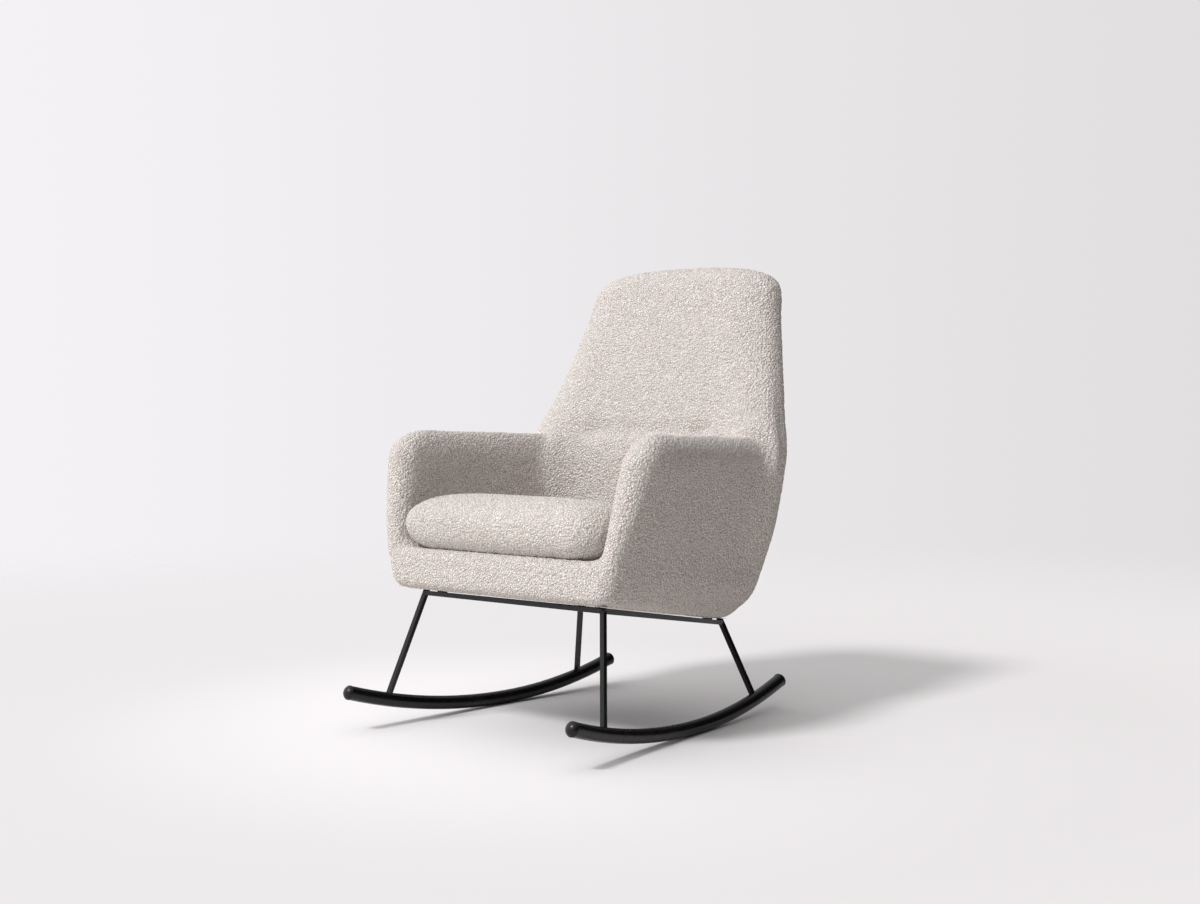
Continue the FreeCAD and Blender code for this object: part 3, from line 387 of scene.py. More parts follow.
class Graph:
    """Short calls that add nodes to a shader tree and join them."""

    def __init__(self, tree: bpy.types.NodeTree) -> None:
        """Start from an empty tree."""
        self.tree = tree
        self.tree.nodes.clear()

    def add(self, kind: str, inputs: Inputs | None = None, **settings: object) -> Node:
        """Add a node.

        Args:
            kind: The node's type name after "ShaderNode".
            inputs: Values or output sockets for its inputs, by name or number.
            **settings: Its properties.

        Returns:
            The node.
        """
        node = self.tree.nodes.new(kind if kind.startswith("NodeGroup") else f"ShaderNode{kind}")
        for key, value in settings.items():
            setattr(node, key, value)
        self.feed(node, inputs or {})
        return node

    def feed(self, node: Node, inputs: Inputs) -> None:
        """Give values or output sockets to a node's inputs."""
        for key, value in inputs.items():
            if isinstance(value, Socket):
                self.tree.links.new(value, node.inputs[key])
            else:
                node.inputs[key].default_value = value

    def math(self, operation: str, a: object, b: object = 0.0) -> Socket:
        """One arithmetic step on values or sockets."""
        return self.add("Math", {0: a, 1: b}, operation=operation).outputs[0]

    def along(self, vector: object, direction: Direction) -> Socket:
        """How far a vector reaches along a direction."""
        return self.add("VectorMath", {0: vector, 1: direction}, operation="DOT_PRODUCT").outputs["Value"]

    def remap(self, value: object, low: float, high: float, start: float = 0.0, end: float = 1.0) -> Socket:
        """Stretch low..high of a value to start..end, eased and held at the ends."""
        inputs = {"Value": value, "From Min": low, "From Max": high, "To Min": start, "To Max": end}
        return self.add("MapRange", inputs, interpolation_type="SMOOTHSTEP").outputs["Result"]

    def mix(self, factor: object, a: object, b: object) -> Socket:
        """Mix two colours."""
        a, b = (colour if isinstance(colour, Socket) else (*colour, 1.0) for colour in (a, b))
        return self.add("Mix", {0: factor, 6: a, 7: b}, data_type="RGBA").outputs[2]

    def noise(self, vector: object, scale: float, detail: float = 2.0, rough: float = 0.5) -> Socket:
        """A noise value around 0.5."""
        inputs = {"Vector": vector, "Scale": scale, "Detail": detail, "Roughness": rough}
        return self.add("TexNoise", inputs).outputs["Fac"]

    def object_coords(self) -> Socket:
        """The piece's own coordinates, which are those of the row frame at rest."""
        return self.add("TexCoord").outputs["Object"]

    def group(self, tree: bpy.types.NodeTree, place: Socket) -> Node:
        """Use a node group at a place."""
        return self.add("Group", {"Vector": place}, node_tree=tree)


def new_group(name: str, outputs: tuple[str, ...]) -> tuple[Graph, Node, Socket]:
    """An empty shader group that takes a vector and gives values.

    Args:
        name: The group's name.
        outputs: Names of its outputs.

    Returns:
        Its graph, its output node and its vector input.
    """
    tree = bpy.data.node_groups.new(name, "ShaderNodeTree")
    tree.interface.new_socket("Vector", in_out="INPUT", socket_type="NodeSocketVector")
    for key in outputs:
        tree.interface.new_socket(key, in_out="OUTPUT", socket_type="NodeSocketFloat")
    graph = Graph(tree)
    vector = graph.add("NodeGroupInput").outputs["Vector"]
    return graph, graph.add("NodeGroupOutput"), vector


def looped_wool_group() -> bpy.types.NodeTree:
    """The nubs of looped wool: how high the yarn stands, where the cracks between nubs get painted shade,
    and how each nub is tinted.

    Returns:
        A group with three outputs: the height, the mask of painted shade in the cracks, and the tint.
    """
    nub_scale, loop_scale, shift_reach = 205.0, 480.0, 0.0045
    graph, output, vector = new_group("looped wool", ("Height", "Depth", "Tint"))
    warp = graph.add("TexNoise", {"Vector": vector, "Scale": 150.0, "Detail": 2.0}).outputs["Color"]
    centred = graph.add("VectorMath", {0: warp, 1: (0.5, 0.5, 0.5)}, operation="SUBTRACT").outputs[0]
    shift = graph.add("VectorMath", {0: centred, "Scale": shift_reach}, operation="SCALE").outputs[0]
    place = graph.add("VectorMath", {0: vector, 1: shift}, operation="ADD").outputs[0]
    cells = {"Vector": place, "Scale": nub_scale}
    nubs = graph.add("TexVoronoi", cells, feature="F1")
    cracks = graph.add("TexVoronoi", cells, feature="DISTANCE_TO_EDGE")
    loops = graph.add("TexVoronoi", {"Vector": place, "Scale": loop_scale}, feature="F1")
    fibre = graph.noise(place, 1500.0, 1.0)
    round_nub = graph.remap(nubs.outputs["Distance"], 0.0, 0.85, 1.0, 0.0)
    round_loop = graph.remap(loops.outputs["Distance"], 0.0, 0.85, 1.0, 0.0)
    coarse = graph.math("MULTIPLY", round_nub, 0.76)
    fine = graph.math("MULTIPLY", round_loop, 0.19)
    hair = graph.math("MULTIPLY", fibre, 0.05)
    height = graph.math("ADD", graph.math("ADD", coarse, fine), hair)
    tint = graph.add("SeparateColor", {0: nubs.outputs["Color"]}).outputs[0]
    # Painted shade: 1 along the narrow cracks between nubs, 0 a little way from them.
    depth = graph.remap(cracks.outputs["Distance"], 0.0, 0.17, 1.0, 0.0)
    graph.feed(output, {"Height": height, "Depth": depth, "Tint": tint})
    return graph.tree


def wear_group() -> bpy.types.NodeTree:
    """Uneven gloss of a painted or moulded surface: a slow drift and a fine grain.

    Returns:
        A group with outputs Drift and Grain.
    """
    graph, output, vector = new_group("surface grain", ("Drift", "Grain"))
    drift, grain = graph.noise(vector, 9.0, 3.0, 0.6), graph.noise(vector, 900.0, 2.0, 0.5)
    graph.feed(output, {"Drift": drift, "Grain": grain})
    return graph.tree


def weave_group() -> bpy.types.NodeTree:
    """Plain weave that runs over any surface: crossing bands along the three axes.

    Returns:
        A group with the output Thread, 1 on top of a thread.
    """
    graph, output, vector = new_group("weave", ("Thread",))
    axes = graph.add("SeparateXYZ", {0: vector})
    waves = [graph.math("SINE", graph.math("MULTIPLY", axes.outputs[k], 3200.0)) for k in range(3)]
    crossed = graph.math("ADD", graph.math("MULTIPLY", waves[0], waves[1]), waves[2])
    graph.feed(output, {"Thread": graph.remap(crossed, -1.2, 1.6)})
    return graph.tree


@dataclass(frozen=True)
class Finish:
    """A finish: it makes one material and shares node groups with the others."""

    slot: Slot
    colour: Colour
    roughness: float

    def build(self, groups: Groups) -> bpy.types.Material:
        """Make the material.

        Args:
            groups: The shared node groups by name.

        Returns:
            The new material.
        """
        material = bpy.data.materials.new(self.slot.value)
        material.use_nodes = True
        material.diffuse_color = (*self.colour, 1.0)
        graph = Graph(material.node_tree)
        plain = {"Base Color": (*self.colour, 1.0), "Roughness": self.roughness}
        shader = graph.add("BsdfPrincipled", plain)
        graph.add("OutputMaterial", {"Surface": shader.outputs[0]})
        self.dress(graph, shader, groups)
        return material

    def dress(self, graph: Graph, shader: Node, groups: Groups) -> None:
        """Add the finish's own nodes to the plain shader."""

    def bump(self, graph: Graph, shader: Node, height: object, distance: float, strength: float) -> None:
        """Give the shader a bumped normal."""
        inputs = {"Height": height, "Distance": distance, "Strength": strength}
        graph.feed(shader, {"Normal": graph.add("Bump", inputs).outputs[0]})

    def toned(self, factor: float) -> Colour:
        """The finish's own colour, lighter or darker by a factor."""
        return tuple(c * factor for c in self.colour)


@dataclass(frozen=True)
class WoolFinish(Finish):
    """Looped wool: pale nubs with painted shade in warm brown along the cracks between them, and a soft
    bloom.
    """

    # Painted shade: the warm brown that the cracks between nubs are darkened towards.
    hollow: Colour = (0.37, 0.265, 0.20)
    nub_height: float = 0.0048

    def dress(self, graph: Graph, shader: Node, groups: Groups) -> None:
        """Colour the nubs, paint shade into the cracks between them and raise them."""
        place = graph.object_coords()
        wool = graph.group(groups["wool"], place)
        nub = graph.mix(wool.outputs["Tint"], self.toned(0.97), self.toned(1.02))
        cloudy = graph.math("MULTIPLY", graph.remap(graph.noise(place, 22.0, 3.0), 0.35, 0.75), 0.5)
        drifted = graph.mix(cloudy, nub, self.toned(0.93))
        # Painted shade: the cracks go up to 80 % of the way to the hollow colour.
        deep = graph.math("MULTIPLY", wool.outputs["Depth"], 0.80)
        look = {
            "Base Color": graph.mix(deep, drifted, self.hollow),
            "Sheen Weight": 0.22,
            "Sheen Roughness": 0.5,
            "Sheen Tint": (1.0, 0.98, 0.96, 1.0),
            "Specular IOR Level": 0.12,
        }
        graph.feed(shader, look)
        self.bump(graph, shader, wool.outputs["Height"], self.nub_height, 1.0)


@dataclass(frozen=True)
class CoatFinish(Finish):
    """Powder-coated or moulded black: satin gloss that drifts a little, over a fine orange peel."""

    peel: float = 0.00012

    def dress(self, graph: Graph, shader: Node, groups: Groups) -> None:
        """Vary gloss and colour and add the peel."""
        grain = graph.group(groups["grain"], graph.object_coords())
        drift = grain.outputs["Drift"]
        rough = graph.remap(drift, 0.25, 0.75, self.roughness - 0.06, self.roughness + 0.07)
        paler = tuple(c * 1.4 + 0.002 for c in self.colour)
        worn = graph.mix(graph.remap(drift, 0.5, 0.85), self.colour, paler)
        graph.feed(shader, {"Roughness": rough, "Base Color": worn, "Specular IOR Level": 0.32})
        self.bump(graph, shader, grain.outputs["Grain"], self.peel, 0.5)


@dataclass(frozen=True)
class MetalFinish(Finish):
    """Plated metal with drifting gloss and fine scratches."""

    def dress(self, graph: Graph, shader: Node, groups: Groups) -> None:
        """Make it metallic and vary its gloss."""
        grain = graph.group(groups["grain"], graph.object_coords())
        rough = graph.remap(grain.outputs["Drift"], 0.3, 0.7, self.roughness - 0.08, self.roughness + 0.12)
        graph.feed(shader, {"Roughness": rough, "Metallic": 1.0})
        self.bump(graph, shader, grain.outputs["Grain"], 0.00006, 0.4)


@dataclass(frozen=True)
class TimberFinish(Finish):
    """Planed pale timber: growth rings drawn out along the grain, with fine pores."""

    late_wood: Colour = (0.50, 0.34, 0.19)

    def dress(self, graph: Graph, shader: Node, groups: Groups) -> None:
        """Draw rings and pores."""
        drawn_out = {"Vector": graph.object_coords(), "Scale": (1.6, 14.0, 14.0)}
        place = graph.add("Mapping", drawn_out).outputs[0]
        rings = graph.add("TexWave", {"Vector": place, "Scale": 3.2, "Distortion": 5.0, "Detail": 3.0})
        pores = graph.noise(place, 60.0, 3.0, 0.7)
        ring = graph.math("MULTIPLY", graph.remap(rings.outputs["Fac"], 0.2, 0.95), 0.55)
        dotted = graph.math("MAXIMUM", ring, graph.remap(pores, 0.6, 0.72, 0.0, 0.7))
        graph.feed(shader, {"Base Color": graph.mix(dotted, self.colour, self.late_wood)})
        self.bump(graph, shader, pores, 0.0002, 0.4)


@dataclass(frozen=True)
class WovenFinish(Finish):
    """Woven or felted cloth for webbing, zip tape and the dust cover."""

    thread_height: float = 0.0004

    def dress(self, graph: Graph, shader: Node, groups: Groups) -> None:
        """Shade between threads and add fluff."""
        place = graph.object_coords()
        thread = graph.group(groups["weave"], place).outputs["Thread"]
        fluff = graph.noise(place, 420.0, 3.0, 0.7)
        shade = graph.math("MULTIPLY", graph.math("ADD", graph.math("SUBTRACT", 1.0, thread), fluff), 0.35)
        colour = graph.mix(shade, self.colour, self.toned(0.45))
        graph.feed(shader, {"Base Color": colour, "Sheen Weight": 0.15})
        self.bump(graph, shader, graph.math("ADD", thread, fluff), self.thread_height, 0.8)


@dataclass(frozen=True)
class FoamFinish(Finish):
    """Cut foam: a pale colour full of fine cells."""

    def dress(self, graph: Graph, shader: Node, groups: Groups) -> None:
        """Sink the cells and darken them."""
        cells = graph.add("TexVoronoi", {"Vector": graph.object_coords(), "Scale": 900.0})
        dark = graph.remap(cells.outputs["Distance"], 0.15, 0.6, 0.0, 0.5)
        graph.feed(shader, {"Base Color": graph.mix(dark, self.colour, self.toned(0.6))})
        self.bump(graph, shader, cells.outputs["Distance"], 0.0006, 0.7)


FINISHES: tuple[Finish, ...] = (
    WoolFinish(Slot.BOUCLE, (0.865, 0.84, 0.825), 0.92),
    CoatFinish(Slot.STEEL, (0.004, 0.0042, 0.0046), 0.24),
    CoatFinish(Slot.PLASTIC, (0.006, 0.006, 0.0065), 0.30, 0.00008),
    TimberFinish(Slot.TIMBER, (0.70, 0.53, 0.34), 0.62),
    WovenFinish(Slot.WEBBING, (0.13, 0.12, 0.11), 0.85),
    WovenFinish(Slot.DUST_CLOTH, (0.035, 0.035, 0.036), 0.95, 0.0002),
    FoamFinish(Slot.FOAM, (0.86, 0.81, 0.66), 0.95),
    MetalFinish(Slot.ZINC, (0.62, 0.63, 0.64), 0.34),
    WovenFinish(Slot.ZIP_TAPE, (0.66, 0.61, 0.55), 0.85, 0.0002),
    MetalFinish(Slot.ZIP_METAL, (0.50, 0.48, 0.45), 0.28),
)


# Upholstery


def make_piece(name: str, surface: Surface, material: bpy.types.Material) -> bpy.types.Object:
    """A smooth-shaded object at the origin.

    Args:
        name: Its name.
        surface: Its form.
        material: Its only material.

    Returns:
        The object, linked to the scene.
    """
    obj = surface.to_object(name)
    obj.data.materials.append(material)
    obj.data.polygons.foreach_set("use_smooth", np.ones(len(obj.data.polygons), bool))
    obj.data.update()
    return obj


@dataclass
class ShellSkin:
    """The one continuous skin of seat, arms and back."""

    deck: float = 0.0891
    bottom: float = 0.0024
    foot_overlap: float = 0.022
    seat_edge: float = 0.012
    seat_front: float = 0.308
    seat_rear: float = 0.2705
    seat_half_front: float = 0.318
    seat_half_rear: float = 0.290
    seat_front_corner: float = 0.032
    seat_rear_corner: float = 0.070
    arm_front: float = -0.238
    arm_top: float = 0.634
    arm_top_slope: float = 1.9
    arm_crown: float = 0.060
    arm_outer_round: float = 0.056
    arm_inner_round: float = 0.027
    arm_nose_round: float = 0.080
    arm_rear_corner: float = 0.012
    outer: Growth = (0.318, 0.060, 0.75)
    inner: Growth = (0.274, 0.016, 1.0)
    nose: Growth = (-0.2915, 0.0515, 1.2)
    rear_outer: Growth = (0.277, 0.054, 0.8)
    rear_inner: Growth = (0.238, 0.018, 1.0)
    rear: Growth = (0.245, 0.030, 1.0)
    shoulder: float = 0.916
    crown: float = 0.086
    voxel: float = 0.007
    padding_voxel: float = 0.013
    wing_lift: float = 0.016
    belly_lift: float = 0.006
    pillow_lift: float = 0.005
    crease_height: float = 0.628
    crease_depth: float = 0.0055
    dimple_depth: float = 0.009
    tuck_depth: float = 0.009

    def seat_form(self) -> Surface:
        """The seat part, between the steel rails and the deck under the cushion.

        The columns of flare_keys are the share of the height, and how far the front, the front half width,
        the rear and the rear half width draw in there.

        Returns:
            A closed form.
        """
        edge = self.seat_edge
        turn = np.radians([22, 45, 68, 90])
        flare_keys = np.array(
            [
                [0.000, 0.034, 0.035, 0.050, 0.071],
                [0.055, 0.0215, 0.026, 0.038, 0.060],
                [0.12, 0.0145, 0.019, 0.032, 0.052],
                [0.40, 0.0055, 0.009, 0.0145, 0.0325],
                [0.70, 0.0020, 0.0045, 0.0055, 0.0115],
                [1.00, 0.0, 0.0, 0.0, 0.0],
            ]
        )
        flare = blend_keys(flare_keys, np.linspace(0, 1, 22))
        height = self.bottom + (self.deck - edge - self.bottom) * flare[:, 0]
        round_in = edge * (1 - np.cos(turn))
        rounded = np.repeat(flare[-1:], len(turn), axis=0) + round_in[:, None] * [[0, 1, 1, 0, 0]]
        flare = np.concatenate([flare, rounded])
        height = np.concatenate([height, self.deck - edge + edge * np.sin(turn)])
        ones = np.ones(len(height))
        rings = quad_rings(
            self.seat_half_front - flare[:, 2],
            self.seat_half_rear - flare[:, 4],
            -self.seat_front + 0.6 * flare[:, 1],
            self.seat_rear - 0.8 * flare[:, 3],
            self.seat_front_corner * ones,
            self.seat_rear_corner * ones,
        )
        level = np.broadcast_to(height[:, None, None], (*rings.shape[:2], 1))
        return Surface.from_rings(SEAT.to_row(np.concatenate([rings, level], -1)))

    def arm_form(self, side: float) -> Surface:
        """One arm: it flares outwards, rakes back at the nose and ends in a full round on top.

        Args:
            side: 1 for the sitter's left, -1 for the right.

        Returns:
            A closed form that reaches down into the seat part and back into the back.
        """
        foot = SEAT.plane_height(self.arm_front, self.deck - self.foot_overlap)
        rise = self.arm_top - foot
        turn = np.radians(np.linspace(0, 86, 14))
        drop = self.arm_crown * (1 - np.sin(turn))
        straight = np.linspace(0, 1 - self.arm_crown / rise, 18)[:-1]
        share = np.concatenate([straight, 1 - drop / rise])
        bend = np.concatenate([np.zeros(len(straight)), 1 - np.cos(turn)])
        outer_inset = self.arm_outer_round * bend
        inner_inset = self.arm_inner_round * bend
        deck_share = 1 - (1 - share) * rise / (rise - self.foot_overlap)
        grown = np.clip(deck_share, 0, 1)
        outer = grow(self.outer, grown) - outer_inset
        inner = grow(self.inner, grown) + inner_inset
        nose = grow(self.nose, grown) + self.arm_nose_round * bend
        rear_outer = grow(self.rear_outer, grown) - outer_inset
        rear_inner = grow(self.rear_inner, grown) + inner_inset
        rear = grow(self.rear, grown)
        radius = (outer - inner) / 2 - 0.0006
        plan = ((inner, nose), (outer, nose), (rear_outer, rear), (rear_inner, rear))
        corners = np.stack([np.stack(corner, -1) for corner in plan], 1)
        small = np.minimum(radius, self.arm_rear_corner)
        rings = rounded_rings(corners, np.stack([radius, radius, small, small], 1), 10)
        top_slope = math.tan(math.radians(self.arm_top_slope))
        slope = math.tan(SEAT.tilt) * (1 - grown) + top_slope * grown
        height = foot + rise * share
        z = height[:, None] - slope[:, None] * (rings[..., 1] - self.arm_front)
        rings = rings * [side, 1.0]
        return Surface.from_rings(np.concatenate([rings, z[..., None]], -1))

    def back_form(self) -> Surface:
        """The back: a tub behind the arms, then a leaning plate that ends in an arched, pillow-soft crown.

        A section's half width shrinks over the crown as (1 - s^3)^(1/3), with s the share of the crown's
        height. The same rule says how near a point is to the outline, and both faces round off by that.
        Above the arms the rear face rounds off less deeply, which leaves a flat band along each side.
        The columns of keys are the height, the section's slope, its front and rear, its half width, how far
        the front and the rear round inwards from the side, and how deep the front rounds.

        Returns:
            A closed form that reaches down into the seat part.
        """
        foot = SEAT.plane_height(0.287, self.deck - self.foot_overlap)
        lean = math.tan(SEAT.tilt)
        keys = np.array(
            [
                [foot, lean, 0.1950, 0.2770, 0.2820, 0.036, 0.060, 0.030],
                [0.292, lean, 0.1970, 0.2820, 0.2895, 0.040, 0.062, 0.030],
                [0.345, 0.75 * lean, 0.2000, 0.2935, 0.3055, 0.050, 0.064, 0.031],
                [0.400, 0.45 * lean, 0.2030, 0.3050, 0.3205, 0.065, 0.068, 0.033],
                [0.480, 0.18 * lean, 0.2080, 0.3130, 0.3350, 0.085, 0.070, 0.036],
                [0.600, 0.00, 0.2140, 0.3140, 0.3450, 0.112, 0.070, 0.044],
                [0.655, 0.00, 0.2310, 0.3265, 0.3255, 0.110, 0.066, 0.048],
                [0.742, 0.00, 0.2598, 0.3495, 0.3025, 0.108, 0.060, 0.050],
                [0.828, 0.00, 0.2872, 0.3765, 0.2810, 0.105, 0.056, 0.050],
                [self.shoulder, 0.00, 0.3157, 0.4050, 0.2605, 0.100, 0.055, 0.048],
                [self.shoulder + self.crown, 0.00, 0.3434, 0.4210, 0.2620, 0.100, 0.060, 0.040],
            ]
        )
        body = np.linspace(foot, self.shoulder, 44)
        top = self.shoulder + self.crown * np.sin(np.radians(np.linspace(3, 89, 26)))
        rows = blend_keys(keys, np.concatenate([body, top]))
        z, slope, front, rear, half, front_run, rear_run, front_drop = rows.T[..., None]
        share = np.clip((z - self.shoulder) / self.crown, 0, 1)
        turn = np.linspace(0, 2 * np.pi, 96, endpoint=False)
        x = half * (1 - share**3) ** (1 / 3) * np.cos(turn)
        nearness = ((np.abs(x) / half) ** 3 + share**3) ** (1 / 3)
        ahead = np.sin(turn) < 0
        run = np.where(ahead, front_run, rear_run) / half
        past = np.clip((nearness - 1 + run) / run, 0, 1)
        rear_drop = (rear - front - front_drop) * np.interp(z, [0.55, 0.70], [1.0, 0.55])
        drop = np.where(ahead, front_drop, rear_drop)
        fall = drop * (1 - np.sqrt(1 - past**2))
        y = np.where(ahead, front + fall, rear - fall)
        rings = np.stack([x, y, z - slope * (y - rear)], -1)
        return Surface.from_rings(rings)

    def padded_corners(self, forms: Surface) -> Surface:
        """A coarse skin whose hollows are filled deeply, for the wide soft corners between arms and back.

        Args:
            forms: The overlapping forms.

        Returns:
            The filled skin, a little inside the forms wherever there is no hollow.
        """
        skin = forms.fused(self.padding_voxel)
        _, y, z = skin.points.T
        over_seat = z - SEAT.plane_height(0.0, self.deck) + y * math.tan(SEAT.tilt)
        rate = 0.5 * smoothstep(0.03, 0.11, over_seat) + 0.04
        skin.relax(52, rate[:, None], 0.0)
        skin.points = skin.points - 0.0015 * skin.normals()
        return skin

    def sculpt(self, skin: Surface) -> None:
        """Add what sewing and padding do to the plain form: wings, a lumbar crease and its two dimples.

        The corner between deck and back is tucked in, so that the cushion's zip pull swings free of it.

        Args:
            skin: The relaxed skin, changed in place.
        """
        x, y, z = skin.points.T
        normal = skin.normals()
        facing = smoothstep(0.2, 0.75, -normal[:, 1]) * smoothstep(0.12, 0.17, y)
        side = np.abs(x)
        half = np.interp(z, [0.45, 0.60, 0.92], [0.30, 0.30, 0.24])
        wing = smoothstep(0.55, 1.0, side / half) * hill((z - 0.60, 0.12))
        belly = hill((x, 0.20), (z - 0.50, 0.09))
        pillow = hill((x, 0.19), (z - 0.79, 0.12))
        crease_line = self.crease_height - 0.10 * x**2
        crease = hill((z - crease_line, 0.017)) * smoothstep(0.24, 0.10, side)
        dimple = hill((side - 0.15, 0.024), (z - self.crease_height, 0.020))
        tuck = hill((y - 0.184, 0.012), (z - 0.321, 0.012)) * smoothstep(0.24, 0.205, side)
        lift = self.wing_lift * wing + self.belly_lift * belly + self.pillow_lift * pillow
        lift = lift - self.crease_depth * crease - self.dimple_depth * dimple
        skin.points = skin.points + normal * (lift * facing - self.tuck_depth * tuck)[:, None]

    def open_underside(self, skin: Surface) -> Surface:
        """Leave the underside open over the seat board, where the dust cover closes it."""
        across, along, height = SEAT.from_row(skin.points).T
        front, rear = -0.262, 0.222
        half = 0.258 - 0.055 * (along - front) / (rear - front)
        inside = (height < 0.012) & (np.abs(across) < half) & (along > front) & (along < rear)
        kept = skin.faces[~inside[skin.faces].all(axis=1)]
        used, renumbered = np.unique(kept, return_inverse=True)
        return Surface(skin.points[used], renumbered.reshape(-1, 4))

    def build(self, material: bpy.types.Material) -> bpy.types.Object:
        """Make the skin and let it stand for the four upholstered solids.

        Args:
            material: The wool.

        Returns:
            The piece.
        """
        forms = [self.seat_form(), self.back_form(), self.arm_form(1.0), self.arm_form(-1.0)]
        padding = self.padded_corners(Surface.joined(forms))
        skin = Surface.joined([*forms, padding]).fused(self.voxel)
        skin.relax(4, 0.5, 0.45)
        skin.relax(46, 0.5, 0.02)
        self.sculpt(skin)
        skin.relax(3, 0.4, 0.3)
        skin = self.open_underside(skin).subdivided()
        skin.raise_nubs(seed=11)
        obj = make_piece("upholstered_shell", skin, material)
        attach(obj, Body.CHAIR.value)
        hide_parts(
            "seat_upholstery", "back_upholstery", "arm_upholstery_left", "arm_upholstery_right"
        )
        return obj


@dataclass
class SeatCushion:
    """The loose cushion: a crowned form with a full round edge, and the foam inside it."""

    deck: float = 0.0891
    gap: float = 0.0003
    height: float = 0.122
    equator: float = 0.052
    front: float = 0.337
    rear: float = 0.1785
    half_front: float = 0.279
    half_rear: float = 0.240
    corner: float = 0.058
    draw_in: float = 0.004
    lower_round: float = 0.040
    crown_run: float = 0.125
    crown_lift: float = 0.012
    voxel: float = 0.0065
    core_voxel: float = 0.011
    cover_inset: float = 0.0005
    core_inset: float = 0.006
    facet_half: float = 0.211
    facet_depth: float = 0.006
    cover_zip_gap: float = 0.0004
    core_zip_gap: float = 0.0045
    cloth_frames: int = 16
    cloth_cap: float = 0.006

    def form(self, inset: float) -> Surface:
        """The cushion's form, thinner all round by an inset.

        Args:
            inset: How far inside the cover it lies.

        Returns:
            A closed surface in the seat frame.
        """
        turn = np.radians(np.linspace(4, 90, 14))
        low_height = inset + (self.equator - inset) * (1 - np.cos(turn))
        low_inset = self.lower_round * (1 - np.sin(turn))
        rise = np.sin(np.radians(np.linspace(3, 88, 26)))
        high_height = self.equator + (self.height - inset - self.equator) * rise
        high_inset = self.crown_run * (1 - np.sqrt(1 - rise**2.3))
        height = np.concatenate([low_height, high_height])
        edge = np.concatenate([low_inset, high_inset]) + inset
        corner = np.full(len(edge), self.corner) + 0.25 * edge
        halves = (self.half_front - edge, self.half_rear - edge)
        rings = quad_rings(*halves, edge - self.front, self.rear - edge, corner, corner)
        across = rings[..., 0] / (self.half_front - edge)[:, None]
        middle = (self.rear - self.front) / 2
        along = (rings[..., 1] - middle) / ((self.rear + self.front) / 2 - edge)[:, None]
        pull = self.draw_in * np.stack([across * (1 - along**2), along * (1 - across**2)], -1)
        rings = rings - pull
        crown = self.crown_lift * (1 - np.clip(np.hypot(across, along), 0, 1) ** 2)
        lifted = height[:, None] + crown * smoothstep(0.09, self.height, height)[:, None]
        w = self.deck + self.gap + lifted
        return Surface.from_rings(np.concatenate([rings, w[..., None]], -1))

    def flatten_for_zip(self, surface: Surface, depth: float) -> None:
        """Press a flat along the lower rear edge, where the zip lies.

        Args:
            surface: A cushion form in the seat frame, changed in place.
            depth: How far the flat lies inside the round edge.
        """
        c = math.sqrt(0.5)
        out = np.array([0.0, c, -c])
        v = self.rear - self.draw_in - self.lower_round * (1 - c)
        w = self.deck + self.gap + self.equator * (1 - c)
        past = (surface.points - np.array([0.0, v, w])) @ out + depth
        held = smoothstep(self.facet_half + 0.006, self.facet_half - 0.002, np.abs(surface.points[:, 0]))
        surface.points = surface.points - out * (np.maximum(past, 0) * held)[:, None]

    def settle(self, surface: Surface) -> None:
        """Let air pressure round the cloth a little, with no point moved further than a cap.

        Args:
            surface: The form, changed in place.
        """
        obj = surface.to_object("cushion_cloth")
        cloth = obj.modifiers.new("cloth", "CLOTH")
        cloth.settings.quality = 4
        cloth.settings.mass = 0.4
        cloth.settings.use_pressure = True
        cloth.settings.uniform_pressure_force = 4.0
        cloth.settings.effector_weights.gravity = 0.0
        cloth.collision_settings.use_collision = False
        cloth.point_cache.frame_start = 1
        cloth.point_cache.frame_end = self.cloth_frames
        for frame in range(1, self.cloth_frames + 1):
            bpy.context.scene.frame_set(frame)
        moved = Surface.taken_from(obj).points - surface.points
        bpy.context.scene.frame_set(1)
        length = np.linalg.norm(moved, axis=-1, keepdims=True)
        surface.points = surface.points + moved * np.minimum(1.0, self.cloth_cap / np.maximum(length, 1e-9))

    def build(self, wool: bpy.types.Material, foam: bpy.types.Material) -> list[bpy.types.Object]:
        """Make the cover and the core.

        Args:
            wool: The cover's material.
            foam: The core's material.

        Returns:
            The two pieces.
        """
        cover = self.form(self.cover_inset).fused(self.voxel)
        cover.relax(5, 0.5, 0.4)
        self.settle(cover)
        cover.relax(2, 0.4, 0.3)
        cover = cover.subdivided()
        cover.raise_nubs(seed=5)
        self.flatten_for_zip(cover, self.facet_depth + self.cover_zip_gap)
        cover.points[:, 2] = np.maximum(cover.points[:, 2], self.deck + self.gap)
        cover.points = SEAT.to_row(cover.points)
        core = self.form(self.core_inset).fused(self.core_voxel)
        core.relax(3, 0.5, 0.4)
        self.flatten_for_zip(core, self.facet_depth + self.core_zip_gap)
        core.points = SEAT.to_row(core.points)
        pieces = []
        for name, surface, material, slot, node in (
            ("seat_cushion", cover, wool, Slot.BOUCLE, "cushion_cover"),
            ("cushion_foam", core, foam, Slot.FOAM, "cushion_core"),
        ):
            obj = make_piece(name, surface, material)
            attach(obj, Body.CUSHION.value)
            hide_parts(node)
            pieces.append(obj)
        return pieces


# Frame pieces that keep their CAD shape


